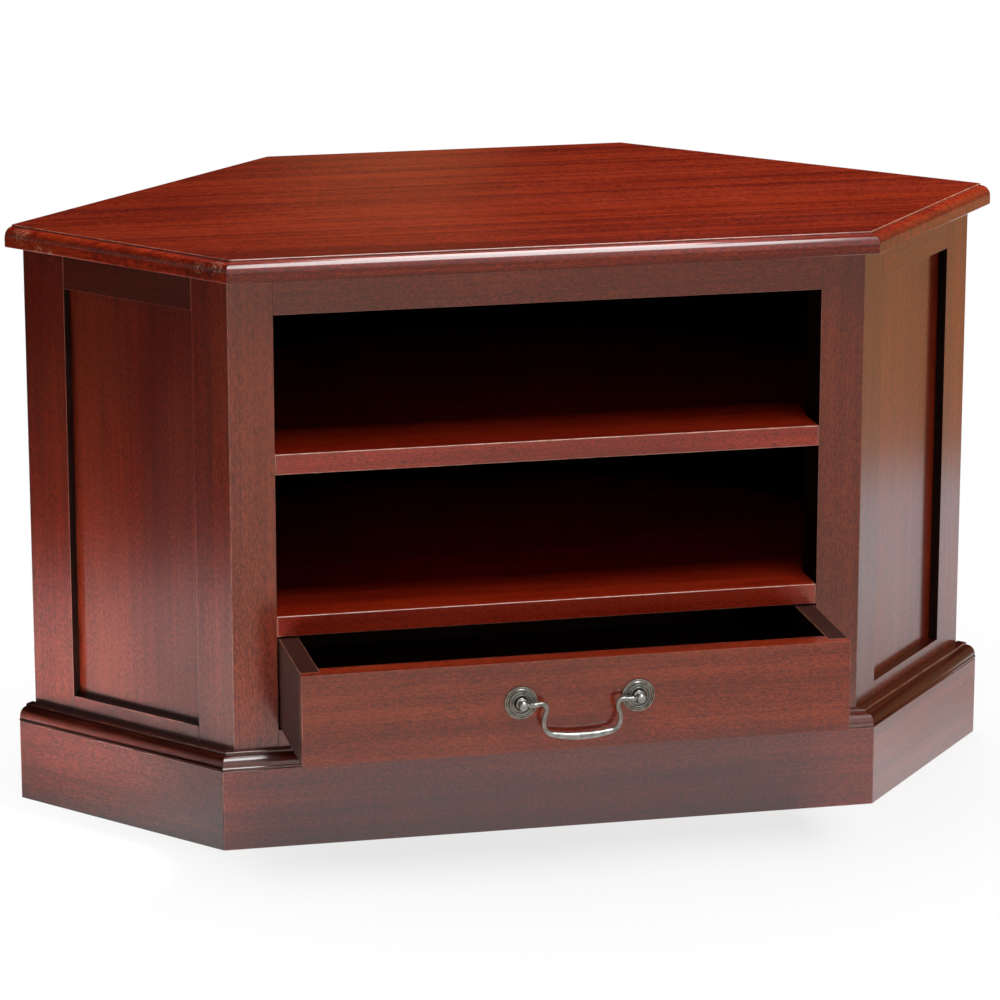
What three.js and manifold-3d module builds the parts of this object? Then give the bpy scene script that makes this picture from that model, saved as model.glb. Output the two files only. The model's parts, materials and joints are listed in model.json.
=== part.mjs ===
// Corner television cabinet: six-sided, for a square room corner, with two open bays
// over one drawer on wooden runners and a swinging drop handle.
// Millimetres, +Z up, +X to the right along the front, +Y from the front to the corner.
// The drawer stands open, as it is usually seen, and the origin is on the floor
// below the middle of the whole cabinet with its drawer open.

import * as THREE from "three";
import { mergeVertices } from "three/addons/utils/BufferGeometryUtils.js";
import Module from "manifold-3d";

const wasm = await Module();
wasm.setup();

// Whole cabinet
const totalHeight = 600;
const bodyFrontWidth = 644;
const bodyDepth = 505;
const sideLength = 268;
const sideAngle = THREE.MathUtils.degToRad(49.5);
const wallAngle = THREE.MathUtils.degToRad(45);

// Board thicknesses and fits
const frameThickness = 22;
const shelfThickness = 21;
const jointGap = 0.3;
const cutOverrun = 5;

// Top slab: square edges to the walls, moulded edge to the front and sides
const slabThickness = 21;
const slabFrontOverhang = 31;
const slabSideOverhang = 24;
const slabWallOverhang = 4;
const slabEaseRadius = 1.2;
const slabOvoloRadius = 9;
const slabFilletWidth = 1.5;
const slabFilletHeight = 2;

// Posts
const frontPostWidth = 45;
const frontPostSideWidth = 46;
const rearPostSideWidth = 54;
const rearPostWallWidth = 40;
const rearPostDepth = 40;
const backPostWidth = 40;
const backPostDepth = 30;

// Levels of the front, from the floor up
const plinthHeight = 82.5;
const mouldingHeight = 16;
const bottomRailTop = 117;
const bottomRailHeight = 60;
const lowerShelfTop = 234;
const middleShelfTop = 399.5;
const topRailHeight = 40;

// Framed panels of the sides, the two walls and the back
const sideTopRailHeight = 39;
const sidePanelBottom = 115;
const sidePanelThickness = 8;
const sidePanelRecess = 10;
const wallPanelThickness = 6;
const wallPanelRecess = 4;
const grooveDepth = 8;

// Plinth boards and the moulding on them
const plinthFrontProud = 17;
const plinthSideProud = 22;
const plinthWallOverhang = 4;
const mouldingLineHeight = 2.5;
const mouldingLineInset = 0.8;
const mouldingOvoloRadius = 9;
const mouldingStepWidth = 1.5;
const mouldingStepHeight = 2.5;
const mouldingTopRound = 1.2;

// Battens and cleats
const battenWidth = 18;
const battenHeight = 20;
const cleatEndGap = 14;

// Drawer and its runners
const drawerOpen = 129;
const drawerSideGap = 1.5;
const drawerTopGap = 1.5;
const drawerBottomGap = 2.5;
const drawerFrontThickness = 22;
const drawerFrontLap = 10;
const drawerSideThickness = 20;
const drawerBackThickness = 18;
const drawerBackDrop = 8;
const drawerBottomThickness = 6;
const drawerBottomHeight = 10;
const runnerWidth = 32;
const runnerHeight = 20;
const guideWidth = 20;
const guideHeight = 50;
const crossRailThickness = 22;
const crossRailHeight = 41;
const crossRailReach = 11;

// Drop handle
const handleCentres = 118;
const handleHeight = 51;
const rosetteRadius = 16.5;
const rosetteRimThickness = 2.2;
const rosetteBossRadius = 6;
const rosetteBossHeight = 5.5;
const shankRadius = 2;
const shankClearance = 0.4;
const handleReach = 12;
const knuckleRadius = 5.2;
const knuckleNeckRadius = 3.1;
const knuckleCollarRadius = 4.4;
const knuckleCollarThickness = 1.6;
const nutAcrossFlats = 8;
const nutThickness = 4;
const shankProud = 6;
const pinRadius = 1.8;
const pinClearance = 0.45;
const pinBeadRadius = 2.7;
const bailArmRadius = 2;
const bailGripRadius = 3.5;
const bailDrop = 34;
const bailShoulder = 36;
const bailBulge = 3.5;

// Smoothness of the round work
const handleSegments = 20;
const arcSteps = 6;
const bailSides = 10;
const bailStepsPerStation = 4;

// Plan of the body, right-hand half. Each face has its own frame: x runs along the
// face away from the front, y runs inwards from its outer side, z is up.
const frontHalf = bodyFrontWidth / 2;
const openingHalf = frontHalf - frontPostWidth;
const carcassTop = totalHeight - slabThickness;
const frontCorner = new THREE.Vector2(frontHalf, 0);
const alongSide = new THREE.Vector2(Math.cos(sideAngle), Math.sin(sideAngle));
const wallCorner = frontCorner.clone().addScaledVector(alongSide, sideLength);
const alongWall = new THREE.Vector2(-Math.cos(wallAngle), Math.sin(wallAngle));
const wallLength = (bodyDepth - wallCorner.y) / alongWall.y;
const backCorner = wallCorner.clone().addScaledVector(alongWall, wallLength);

const sideFace = { origin: frontCorner, along: alongSide, length: sideLength };
const wallFace = { origin: wallCorner, along: alongWall, length: wallLength };
const backFace = { origin: backCorner, along: new THREE.Vector2(-1, 0), length: 2 * backCorner.x };

// Point of a face, at a distance along it and a depth inwards, in the cabinet's plan.
function onFace(face, along, inwards) {
  const { origin, along: dir } = face;
  return new THREE.Vector2(
    origin.x + along * dir.x - inwards * dir.y,
    origin.y + along * dir.y + inwards * dir.x,
  );
}

function faceMatrix(face) {
  const matrix = new THREE.Matrix4().makeRotationZ(Math.atan2(face.along.y, face.along.x));
  return matrix.setPosition(face.origin.x, face.origin.y, 0);
}

// Where a line parallel to one face meets a line parallel to another, each set
// outwards from its face by its own distance.
function outsideCorner(faceA, outA, faceB, outB) {
  const startA = onFace(faceA, 0, -outA);
  const startB = onFace(faceB, 0, -outB);
  const between = startB.clone().sub(startA);
  const turn = faceA.along.cross(faceB.along);
  return startA.addScaledVector(faceA.along, between.cross(faceB.along) / turn);
}

const frontFace = { origin: new THREE.Vector2(-frontHalf, 0), along: new THREE.Vector2(1, 0) };

// Solids
function box(xLow, xHigh, yLow, yHigh, zLow, zHigh) {
  const geometry = new THREE.BoxGeometry(xHigh - xLow, yHigh - yLow, zHigh - zLow);
  return geometry.translate((xLow + xHigh) / 2, (yLow + yHigh) / 2, (zLow + zHigh) / 2);
}

function prism(points, zLow, zHigh) {
  const geometry = new THREE.ExtrudeGeometry(new THREE.Shape(points), {
    depth: zHigh - zLow,
    bevelEnabled: false,
  });
  return geometry.translate(0, 0, zLow);
}

function closedMesh(vertices, triangles) {
  const geometry = new THREE.BufferGeometry();
  geometry.setAttribute("position", new THREE.Float32BufferAttribute(vertices, 3));
  geometry.setIndex(triangles);
  return geometry;
}

// Joins rings of equally many points, each counter-clockwise seen along the stack,
// and closes the first and last ring.
function loft(rings, capTriangles) {
  const count = rings[0].length;
  const vertices = rings.flat().flatMap((point) => [point.x, point.y, point.z]);
  const triangles = [];
  for (let level = 1; level < rings.length; level += 1) {
    const lower = (level - 1) * count;
    const upper = level * count;
    for (let side = 0; side < count; side += 1) {
      const next = (side + 1) % count;
      triangles.push(lower + side, lower + next, upper + next);
      triangles.push(lower + side, upper + next, upper + side);
    }
  }
  const last = (rings.length - 1) * count;
  for (const [a, b, c] of capTriangles) {
    triangles.push(a, c, b);
    triangles.push(last + a, last + b, last + c);
  }
  return closedMesh(vertices, triangles);
}

// Stacks one plan outline per level, as a moulded edge needs.
function stack(levels) {
  const rings = levels.map(({ outline, z }) => (
    outline.map((point) => new THREE.Vector3(point.x, point.y, z))
  ));
  return loft(rings, THREE.ShapeUtils.triangulateShape(levels[0].outline, []));
}

function toSolid(geometry) {
  const bare = geometry.clone();
  for (const name of Object.keys(bare.attributes)) {
    if (name !== "position") {
      bare.deleteAttribute(name);
    }
  }
  const merged = mergeVertices(bare);
  return new wasm.Manifold(new wasm.Mesh({
    numProp: 3,
    vertProperties: new Float32Array(merged.attributes.position.array),
    triVerts: new Uint32Array(merged.index.array),
  }));
}

function toGeometry(solid) {
  const mesh = solid.getMesh();
  return closedMesh(Array.from(mesh.vertProperties), Array.from(mesh.triVerts));
}

function join(first, ...others) {
  return toGeometry(others.reduce((solid, geometry) => solid.add(toSolid(geometry)), toSolid(first)));
}

function cut(first, ...others) {
  return toGeometry(others.reduce((solid, geometry) => solid.subtract(toSolid(geometry)), toSolid(first)));
}

function mirrored(geometry) {
  const copy = mergeVertices(toGeometry(toSolid(geometry)));
  copy.scale(-1, 1, 1);
  const index = Array.from(copy.index.array);
  for (let corner = 0; corner < index.length; corner += 3) {
    [index[corner + 1], index[corner + 2]] = [index[corner + 2], index[corner + 1]];
  }
  copy.setIndex(index);
  return copy;
}

// Materials
const mahogany = { color: "#6e2a1c", roughness: 0.32, metalness: 0 };
const mahoganyInside = { color: "#54160e", roughness: 0.5, metalness: 0 };
const plywood = { color: "#8a5a3a", roughness: 0.7, metalness: 0 };
const softwood = { color: "#a9835a", roughness: 0.75, metalness: 0 };
const pewter = { color: "#6f726c", roughness: 0.38, metalness: 1 };
const steel = { color: "#9a9c9e", roughness: 0.35, metalness: 1 };

function addPiece(group, name, geometry, finish) {
  const mesh = new THREE.Mesh(geometry, new THREE.MeshStandardMaterial(finish));
  mesh.name = name;
  group.add(mesh);
  return mesh;
}

// A right-hand piece and its mirror image on the left.
function addPair(group, name, geometry, finish) {
  addPiece(group, `${name}_right`, geometry, finish);
  addPiece(group, `${name}_left`, mirrored(geometry), finish);
}

// Whole outline of the body, set outwards by a distance on each kind of face.
function bodyOutline(frontOut, sideOut, wallOut) {
  const right = [
    outsideCorner(frontFace, frontOut, sideFace, sideOut),
    outsideCorner(sideFace, sideOut, wallFace, wallOut),
    outsideCorner(wallFace, wallOut, backFace, wallOut),
  ];
  const left = right.map((point) => new THREE.Vector2(-point.x, point.y)).reverse();
  return [...right, ...left];
}

function makeTopSlab() {
  const underside = carcassTop;
  const ovoloTop = totalHeight - slabFilletHeight;
  const ovoloBottom = ovoloTop - slabOvoloRadius;
  const profile = [
    { inset: slabEaseRadius, z: underside },
    { inset: 0, z: underside + slabEaseRadius },
  ];
  for (let step = 0; step <= arcSteps; step += 1) {
    const turn = (step / arcSteps) * (Math.PI / 2);
    profile.push({
      inset: slabOvoloRadius * (1 - Math.cos(turn)),
      z: ovoloBottom + slabOvoloRadius * Math.sin(turn),
    });
  }
  profile.push({ inset: slabOvoloRadius + slabFilletWidth, z: ovoloTop });
  profile.push({ inset: slabOvoloRadius + slabFilletWidth, z: totalHeight });
  return stack(profile.map(({ inset, z }) => ({
    outline: bodyOutline(slabFrontOverhang - inset, slabSideOverhang - inset, slabWallOverhang),
    z,
  })));
}

// Posts: the panel groove of a face runs the whole height of the post.
function groove(face, mouth, bottom, recess, thickness) {
  const outer = recess - jointGap;
  const inner = recess + thickness + jointGap;
  return [
    onFace(face, mouth, outer),
    onFace(face, bottom, outer),
    onFace(face, bottom, inner),
    onFace(face, mouth, inner),
  ];
}

const frontPostBack = onFace(sideFace, frontPostSideWidth, frameThickness).y;

function makeFrontPost() {
  const sideEnd = frontPostSideWidth;
  const grooveEnd = sideEnd - grooveDepth;
  return prism([
    new THREE.Vector2(openingHalf, 0),
    frontCorner,
    onFace(sideFace, sideEnd, 0),
    ...groove(sideFace, sideEnd, grooveEnd, sidePanelRecess, sidePanelThickness),
    onFace(sideFace, sideEnd, frameThickness),
    new THREE.Vector2(openingHalf, frontPostBack),
  ], 0, carcassTop);
}

// Post where one framed face ends and the next begins.
function makeCornerPost(before, after) {
  const start = before.face.length - before.width;
  return prism([
    onFace(before.face, start, 0),
    onFace(after.face, 0, 0),
    onFace(after.face, after.width, 0),
    ...groove(after.face, after.width, after.width - grooveDepth, after.recess, after.panel),
    onFace(after.face, after.width, after.depth),
    onFace(before.face, start, before.depth),
    ...groove(before.face, start, start + grooveDepth, before.recess, before.panel).reverse(),
  ], 0, carcassTop);
}

// Two rails and a panel between two posts, in the frame of their face.
function makeFramedPanel({ start, end, thickness, recess, topRail, panelBottom }) {
  const railStart = start + jointGap;
  const railEnd = end - jointGap;
  const tongue = grooveDepth - jointGap;
  const panelTop = carcassTop - topRail;
  const tongueBox = (low, high, zLow, zHigh) => box(low, high, recess, recess + thickness, zLow, zHigh);
  const rail = (zLow, zHigh, grooveLow, grooveHigh) => {
    const body = cut(
      box(railStart, railEnd, 0, frameThickness, zLow, zHigh),
      box(
        railStart - cutOverrun,
        railEnd + cutOverrun,
        recess - jointGap,
        recess + thickness + jointGap,
        grooveLow,
        grooveHigh,
      ),
    );
    const tongueLow = grooveHigh > zHigh ? zLow : grooveHigh;
    const tongueHigh = grooveHigh > zHigh ? grooveLow : zHigh;
    return join(
      body,
      tongueBox(railStart - tongue, railStart + tongue, tongueLow, tongueHigh),
      tongueBox(railEnd - tongue, railEnd + tongue, tongueLow, tongueHigh),
    );
  };
  const top = rail(panelTop, carcassTop, panelTop - cutOverrun, panelTop + grooveDepth);
  const bottom = rail(
    bottomRailTop - bottomRailHeight,
    panelBottom,
    panelBottom - grooveDepth,
    panelBottom + cutOverrun,
  );
  const panel = tongueBox(start - tongue, end + tongue, panelBottom - tongue, panelTop + tongue);
  return { top, bottom, panel };
}

// Battens under a shelf, seated against a panel between two posts.
function makeBatten(face, start, end, depth, top) {
  const batten = box(start + jointGap, end - jointGap, depth, depth + battenWidth, top - battenHeight, top);
  return batten.applyMatrix4(faceMatrix(face));
}

const sideSeat = sidePanelRecess + sidePanelThickness + jointGap;
const wallSeat = wallPanelRecess + wallPanelThickness + jointGap;
const rearPostStart = sideLength - rearPostSideWidth;
const backPostStart = wallLength - backPostWidth;

// Shelf: flush with the front between the posts, notched round every post.
function makeShelf(top) {
  const sideNotch = rearPostStart - jointGap;
  const wallStart = rearPostWallWidth + jointGap;
  const wallEnd = backPostStart - jointGap;
  const backStart = backPostWidth + jointGap;
  const behindPost = frontPostBack;
  const sideLine = onFace(sideFace, 0, sideSeat);
  const behindAlong = (behindPost - sideLine.y) / alongSide.y;
  const right = [
    new THREE.Vector2(openingHalf, 0),
    new THREE.Vector2(openingHalf, behindPost),
    onFace(sideFace, behindAlong, sideSeat),
    onFace(sideFace, sideNotch, sideSeat),
    onFace(sideFace, sideNotch, rearPostDepth + jointGap),
    onFace(wallFace, wallStart, rearPostDepth + jointGap),
    onFace(wallFace, wallStart, wallSeat),
    onFace(wallFace, wallEnd, wallSeat),
    onFace(wallFace, wallEnd, backPostDepth + jointGap),
    onFace(backFace, backStart, backPostDepth + jointGap),
    onFace(backFace, backStart, wallSeat),
  ];
  const left = right.map((point) => new THREE.Vector2(-point.x, point.y)).reverse();
  return prism([...right, ...left], top - shelfThickness, top);
}

// Plinth and its moulding: strips mitred at the front corners and cut off at the walls.
// The mitre starts a little way back along the side, as the sides stand further out.
const mitreStart = outsideCorner(
  frontFace,
  plinthFrontProud - plinthSideProud + jointGap,
  sideFace,
  jointGap,
);

function frontStrip(out) {
  const right = [
    outsideCorner(frontFace, out.front, sideFace, out.side),
    mitreStart,
    outsideCorner(frontFace, 0, sideFace, jointGap),
  ];
  const left = right.map((point) => new THREE.Vector2(-point.x, point.y)).reverse();
  return [...right, ...left];
}

function sideStrip(out) {
  const mitreShift = alongSide.clone().multiplyScalar(jointGap / alongSide.y);
  return [
    mitreStart.clone().add(mitreShift),
    outsideCorner(frontFace, out.front, sideFace, out.side).add(mitreShift),
    outsideCorner(sideFace, out.side, wallFace, plinthWallOverhang),
    outsideCorner(sideFace, jointGap, wallFace, plinthWallOverhang),
  ];
}

function mouldingProfile() {
  const top = plinthHeight + mouldingHeight;
  const stepLow = top - mouldingStepHeight;
  const ovoloBottom = stepLow - mouldingOvoloRadius;
  const stepInset = mouldingLineInset + mouldingOvoloRadius + mouldingStepWidth;
  const profile = [
    { inset: mouldingLineInset, z: plinthHeight },
    { inset: 0, z: plinthHeight + mouldingLineInset },
    { inset: 0, z: plinthHeight + mouldingLineHeight },
    { inset: mouldingLineInset, z: plinthHeight + mouldingLineHeight + mouldingLineInset },
  ];
  for (let step = 0; step <= arcSteps; step += 1) {
    const turn = (step / arcSteps) * (Math.PI / 2);
    profile.push({
      inset: mouldingLineInset + mouldingOvoloRadius * (1 - Math.cos(turn)),
      z: ovoloBottom + mouldingOvoloRadius * Math.sin(turn),
    });
  }
  profile.push({ inset: stepInset, z: stepLow });
  profile.push({ inset: stepInset, z: top - mouldingTopRound });
  profile.push({ inset: stepInset + mouldingTopRound, z: top });
  return profile;
}

function makeMoulding(strip) {
  return stack(mouldingProfile().map(({ inset, z }) => ({
    outline: strip({ front: plinthFrontProud - inset, side: plinthSideProud - inset }),
    z,
  })));
}

function makePlinthBoard(strip) {
  return prism(strip({ front: plinthFrontProud, side: plinthSideProud }), 0, plinthHeight);
}

// Carcass
const lowerShelfBottom = lowerShelfTop - shelfThickness;
const drawerLow = bottomRailTop + drawerBottomGap;
const drawerHigh = lowerShelfBottom - drawerTopGap;
const runnerTop = drawerLow - jointGap;

// The rail behind the drawer ends on the frames of the two walls, a little outside the
// guides, so the walls settle how far back it lies and how long the drawer is.
const wallRailInside = onFace(wallFace, 0, frameThickness + jointGap);
const crossRailHalf = openingHalf + guideWidth + crossRailReach;
const crossRailFront = wallRailInside.y
  + ((crossRailHalf - wallRailInside.x) / alongWall.x) * alongWall.y;
const drawerLength = crossRailFront - jointGap;

function addFrame(carcass) {
  const sidePosts = { start: frontPostSideWidth, end: rearPostStart };
  const wallPosts = { start: rearPostWallWidth, end: backPostStart };
  const sideFrame = makeFramedPanel({
    ...sidePosts,
    thickness: sidePanelThickness,
    recess: sidePanelRecess,
    topRail: sideTopRailHeight,
    panelBottom: sidePanelBottom,
  });
  const wallSizes = {
    thickness: wallPanelThickness,
    recess: wallPanelRecess,
    topRail: sideTopRailHeight,
    panelBottom: sidePanelBottom,
  };
  const wallFrame = makeFramedPanel({ ...wallPosts, ...wallSizes });
  const backFrame = makeFramedPanel({
    start: backPostWidth,
    end: backFace.length - backPostWidth,
    ...wallSizes,
  });
  const toSide = (geometry) => geometry.applyMatrix4(faceMatrix(sideFace));
  const toWall = (geometry) => geometry.applyMatrix4(faceMatrix(wallFace));
  const toBack = (geometry) => geometry.applyMatrix4(faceMatrix(backFace));
  const onSide = { face: sideFace, width: rearPostSideWidth, depth: rearPostDepth };
  const onWallStart = { face: wallFace, width: rearPostWallWidth, depth: rearPostDepth };
  const onWallEnd = { face: wallFace, width: backPostWidth, depth: backPostDepth };
  const onBack = { face: backFace, width: backPostWidth, depth: backPostDepth };
  const sidePanelFit = { recess: sidePanelRecess, panel: sidePanelThickness };
  const wallPanelFit = { recess: wallPanelRecess, panel: wallPanelThickness };

  addPair(carcass, "front_post", makeFrontPost(), mahogany);
  addPair(carcass, "rear_post", makeCornerPost(
    { ...onSide, ...sidePanelFit },
    { ...onWallStart, ...wallPanelFit },
  ), mahogany);
  addPair(carcass, "back_post", makeCornerPost(
    { ...onWallEnd, ...wallPanelFit },
    { ...onBack, ...wallPanelFit },
  ), mahogany);

  addPiece(carcass, "front_top_rail", box(
    -openingHalf,
    openingHalf,
    0,
    frameThickness,
    carcassTop - topRailHeight,
    carcassTop,
  ), mahogany);
  addPiece(carcass, "front_bottom_rail", box(
    -openingHalf,
    openingHalf,
    0,
    frameThickness,
    bottomRailTop - bottomRailHeight,
    bottomRailTop,
  ), mahogany);

  addPair(carcass, "side_top_rail", toSide(sideFrame.top), mahogany);
  addPair(carcass, "side_bottom_rail", toSide(sideFrame.bottom), mahogany);
  addPair(carcass, "side_panel", toSide(sideFrame.panel), mahogany);
  addPair(carcass, "wall_top_rail", toWall(wallFrame.top), mahoganyInside);
  addPair(carcass, "wall_bottom_rail", toWall(wallFrame.bottom), mahoganyInside);
  addPair(carcass, "wall_panel", toWall(wallFrame.panel), plywood);
  addPiece(carcass, "back_top_rail", toBack(backFrame.top), mahoganyInside);
  addPiece(carcass, "back_bottom_rail", toBack(backFrame.bottom), mahoganyInside);
  addPiece(carcass, "back_panel", toBack(backFrame.panel), plywood);
}

function addShelves(carcass) {
  const shelves = { middle_shelf: middleShelfTop, lower_shelf: lowerShelfTop };
  for (const [name, top] of Object.entries(shelves)) {
    const underside = top - shelfThickness;
    addPiece(carcass, name, makeShelf(top), mahogany);
    addPair(carcass, `${name}_side_batten`, makeBatten(
      sideFace,
      frontPostSideWidth,
      rearPostStart,
      sideSeat,
      underside,
    ), softwood);
    addPair(carcass, `${name}_wall_batten`, makeBatten(
      wallFace,
      rearPostWallWidth,
      backPostStart,
      wallSeat,
      underside,
    ), softwood);
  }
}

function addTop(carcass) {
  const cleat = box(
    frontPostSideWidth + cleatEndGap,
    rearPostStart - cleatEndGap,
    frameThickness + jointGap,
    frameThickness + jointGap + battenWidth,
    carcassTop - battenHeight,
    carcassTop,
  );
  addPiece(carcass, "top_slab", makeTopSlab(), mahogany);
  addPair(carcass, "top_cleat", cleat.applyMatrix4(faceMatrix(sideFace)), softwood);
}

function addPlinth(carcass) {
  addPiece(carcass, "plinth_front", makePlinthBoard(frontStrip), mahogany);
  addPair(carcass, "plinth_side", makePlinthBoard(sideStrip), mahogany);
  addPiece(carcass, "plinth_moulding_front", makeMoulding(frontStrip), mahogany);
  addPair(carcass, "plinth_moulding_side", makeMoulding(sideStrip), mahogany);
}

function addDrawerCarriage(carcass) {
  const runnerLow = runnerTop - runnerHeight;
  const crossRailBackHalf = crossRailHalf + (crossRailThickness / alongWall.y) * alongWall.x;
  const crossRailBack = crossRailFront + crossRailThickness;
  addPair(carcass, "drawer_runner", box(
    openingHalf - runnerWidth,
    openingHalf,
    frameThickness,
    drawerLength,
    runnerLow,
    runnerTop,
  ), softwood);
  addPair(carcass, "drawer_guide", box(
    openingHalf,
    openingHalf + guideWidth,
    frontPostBack + jointGap,
    drawerLength,
    runnerLow,
    runnerLow + guideHeight,
  ), softwood);
  addPiece(carcass, "runner_cross_rail", prism([
    new THREE.Vector2(-crossRailHalf, crossRailFront),
    new THREE.Vector2(crossRailHalf, crossRailFront),
    new THREE.Vector2(crossRailBackHalf, crossRailBack),
    new THREE.Vector2(-crossRailBackHalf, crossRailBack),
  ], runnerLow, runnerLow + crossRailHeight), softwood);
}

// Drawer, with its front face on y = 0 of its own group
const drawerHalf = openingHalf - drawerSideGap;
const drawerInsideHalf = drawerHalf - drawerSideThickness;
const bottomLow = drawerLow + drawerBottomHeight;
const bottomHigh = bottomLow + drawerBottomThickness;
const handleZ = drawerLow + handleHeight;
const shankHoleRadius = shankRadius + shankClearance;

// Round bar along y, as a lathe makes it.
function turned(profile) {
  const points = profile.map(([radius, y]) => new THREE.Vector2(radius, y));
  return new THREE.LatheGeometry(points, handleSegments);
}

function rodAlongY(radius, yLow, yHigh) {
  return turned([
    [0, yLow],
    [radius, yLow],
    [radius, yHigh],
    [0, yHigh],
  ]);
}

const handleSides = { left: -1, right: 1 };

function toHandlePost(geometry, sign) {
  return geometry.translate((sign * handleCentres) / 2, 0, handleZ);
}

function addDrawerBox(drawer) {
  const shankHole = (sign) => toHandlePost(
    rodAlongY(shankHoleRadius, -cutOverrun, drawerFrontThickness + cutOverrun),
    sign,
  );
  const lap = box(
    drawerInsideHalf,
    drawerHalf + cutOverrun,
    drawerFrontLap,
    drawerFrontThickness + cutOverrun,
    drawerLow - cutOverrun,
    drawerHigh + cutOverrun,
  );
  const front = cut(
    box(-drawerHalf, drawerHalf, 0, drawerFrontThickness, drawerLow, drawerHigh),
    lap,
    mirrored(lap),
    box(
      -drawerInsideHalf - grooveDepth,
      drawerInsideHalf + grooveDepth,
      drawerFrontThickness - grooveDepth,
      drawerFrontThickness + cutOverrun,
      bottomLow,
      bottomHigh,
    ),
    ...Object.values(handleSides).map(shankHole),
  );
  const side = cut(
    box(drawerInsideHalf, drawerHalf, drawerFrontLap, drawerLength, drawerLow, drawerHigh),
    box(
      drawerInsideHalf - cutOverrun,
      drawerInsideHalf + grooveDepth,
      drawerFrontLap - cutOverrun,
      drawerLength + cutOverrun,
      bottomLow,
      bottomHigh,
    ),
  );
  const bottomReach = grooveDepth - jointGap;
  addPiece(drawer, "drawer_front", front, mahogany);
  addPair(drawer, "drawer_side", side, mahogany);
  addPiece(drawer, "drawer_back", box(
    -drawerInsideHalf,
    drawerInsideHalf,
    drawerLength - drawerBackThickness,
    drawerLength,
    bottomHigh,
    drawerHigh - drawerBackDrop,
  ), mahoganyInside);
  addPiece(drawer, "drawer_bottom", box(
    -drawerInsideHalf - bottomReach,
    drawerInsideHalf + bottomReach,
    drawerFrontThickness - bottomReach,
    drawerLength,
    bottomLow,
    bottomHigh,
  ), plywood);
}

// Rosette: a thin rim, two raised rings and a boss round the shank.
function makeRosette() {
  const back = -jointGap;
  const ringsWidth = rosetteRadius - rosetteBossRadius;
  const bossShoulderShare = 0.6;
  const bossTopShare = 0.8;
  const ringShares = [
    { out: 0.82, proud: 1 },
    { out: 0.72, proud: 1.5 },
    { out: 0.58, proud: 1 },
    { out: 0.42, proud: 1.6 },
    { out: 0.2, proud: 1.3 },
  ];
  const profile = [
    [shankHoleRadius, back],
    [rosetteRadius, back],
    [rosetteRadius, -rosetteRimThickness / 2],
    ...ringShares.map(({ out, proud }) => (
      [rosetteBossRadius + out * ringsWidth, -proud * rosetteRimThickness]
    )),
    [rosetteBossRadius, -bossShoulderShare * rosetteBossHeight],
    [bossTopShare * rosetteBossRadius, -rosetteBossHeight],
    [shankHoleRadius, -rosetteBossHeight],
    [shankHoleRadius, back],
  ];
  return turned(profile.reverse());
}

// Post: threaded shank, collar, neck and the knuckle that holds the end of the bail.
function makeHandlePost(sign) {
  const collarBack = -rosetteBossHeight - jointGap;
  const collarFront = collarBack - knuckleCollarThickness;
  const neckMeets = Math.sqrt(knuckleRadius ** 2 - knuckleNeckRadius ** 2);
  const profile = [[0, -handleReach - knuckleRadius]];
  const startTurn = -Math.PI / 2;
  const endTurn = Math.atan2(neckMeets, knuckleNeckRadius);
  const ballSteps = 2 * arcSteps;
  for (let step = 1; step <= ballSteps; step += 1) {
    const turn = startTurn + ((endTurn - startTurn) * step) / ballSteps;
    profile.push([knuckleRadius * Math.cos(turn), -handleReach + knuckleRadius * Math.sin(turn)]);
  }
  profile.push(
    [knuckleNeckRadius, collarFront],
    [knuckleCollarRadius, collarFront],
    [knuckleCollarRadius, collarBack],
    [shankRadius, collarBack],
    [shankRadius, drawerFrontThickness + shankProud],
    [0, drawerFrontThickness + shankProud],
  );
  const pinHoleRadius = pinRadius + pinClearance;
  const pinHole = rodAlongY(pinHoleRadius, -pinHoleRadius, knuckleRadius + cutOverrun)
    .rotateZ((sign * Math.PI) / 2)
    .translate(0, -handleReach, 0);
  return cut(turned(profile), pinHole);
}

function makeNut() {
  const outline = new THREE.Shape();
  const cornerRadius = nutAcrossFlats / Math.sqrt(3);
  const corners = Array.from({ length: 6 }, (_, corner) => (corner * Math.PI) / 3);
  outline.setFromPoints(corners.map((turn) => (
    new THREE.Vector2(cornerRadius * Math.cos(turn), cornerRadius * Math.sin(turn))
  )));
  const hole = new THREE.Path();
  hole.absarc(0, 0, shankHoleRadius, 0, 2 * Math.PI, true);
  outline.holes.push(hole);
  const nut = new THREE.ExtrudeGeometry(outline, {
    depth: nutThickness,
    bevelEnabled: false,
    curveSegments: arcSteps,
  });
  return nut.rotateX(-Math.PI / 2).translate(0, drawerFrontThickness, 0);
}

function addHandle(drawer) {
  for (const [side, sign] of Object.entries(handleSides)) {
    addPiece(drawer, `handle_rosette_${side}`, toHandlePost(makeRosette(), sign), pewter);
    addPiece(drawer, `handle_post_${side}`, toHandlePost(makeHandlePost(sign), sign), pewter);
    addPiece(drawer, `handle_nut_${side}`, toHandlePost(makeNut(), sign), steel);
  }
}

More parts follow.
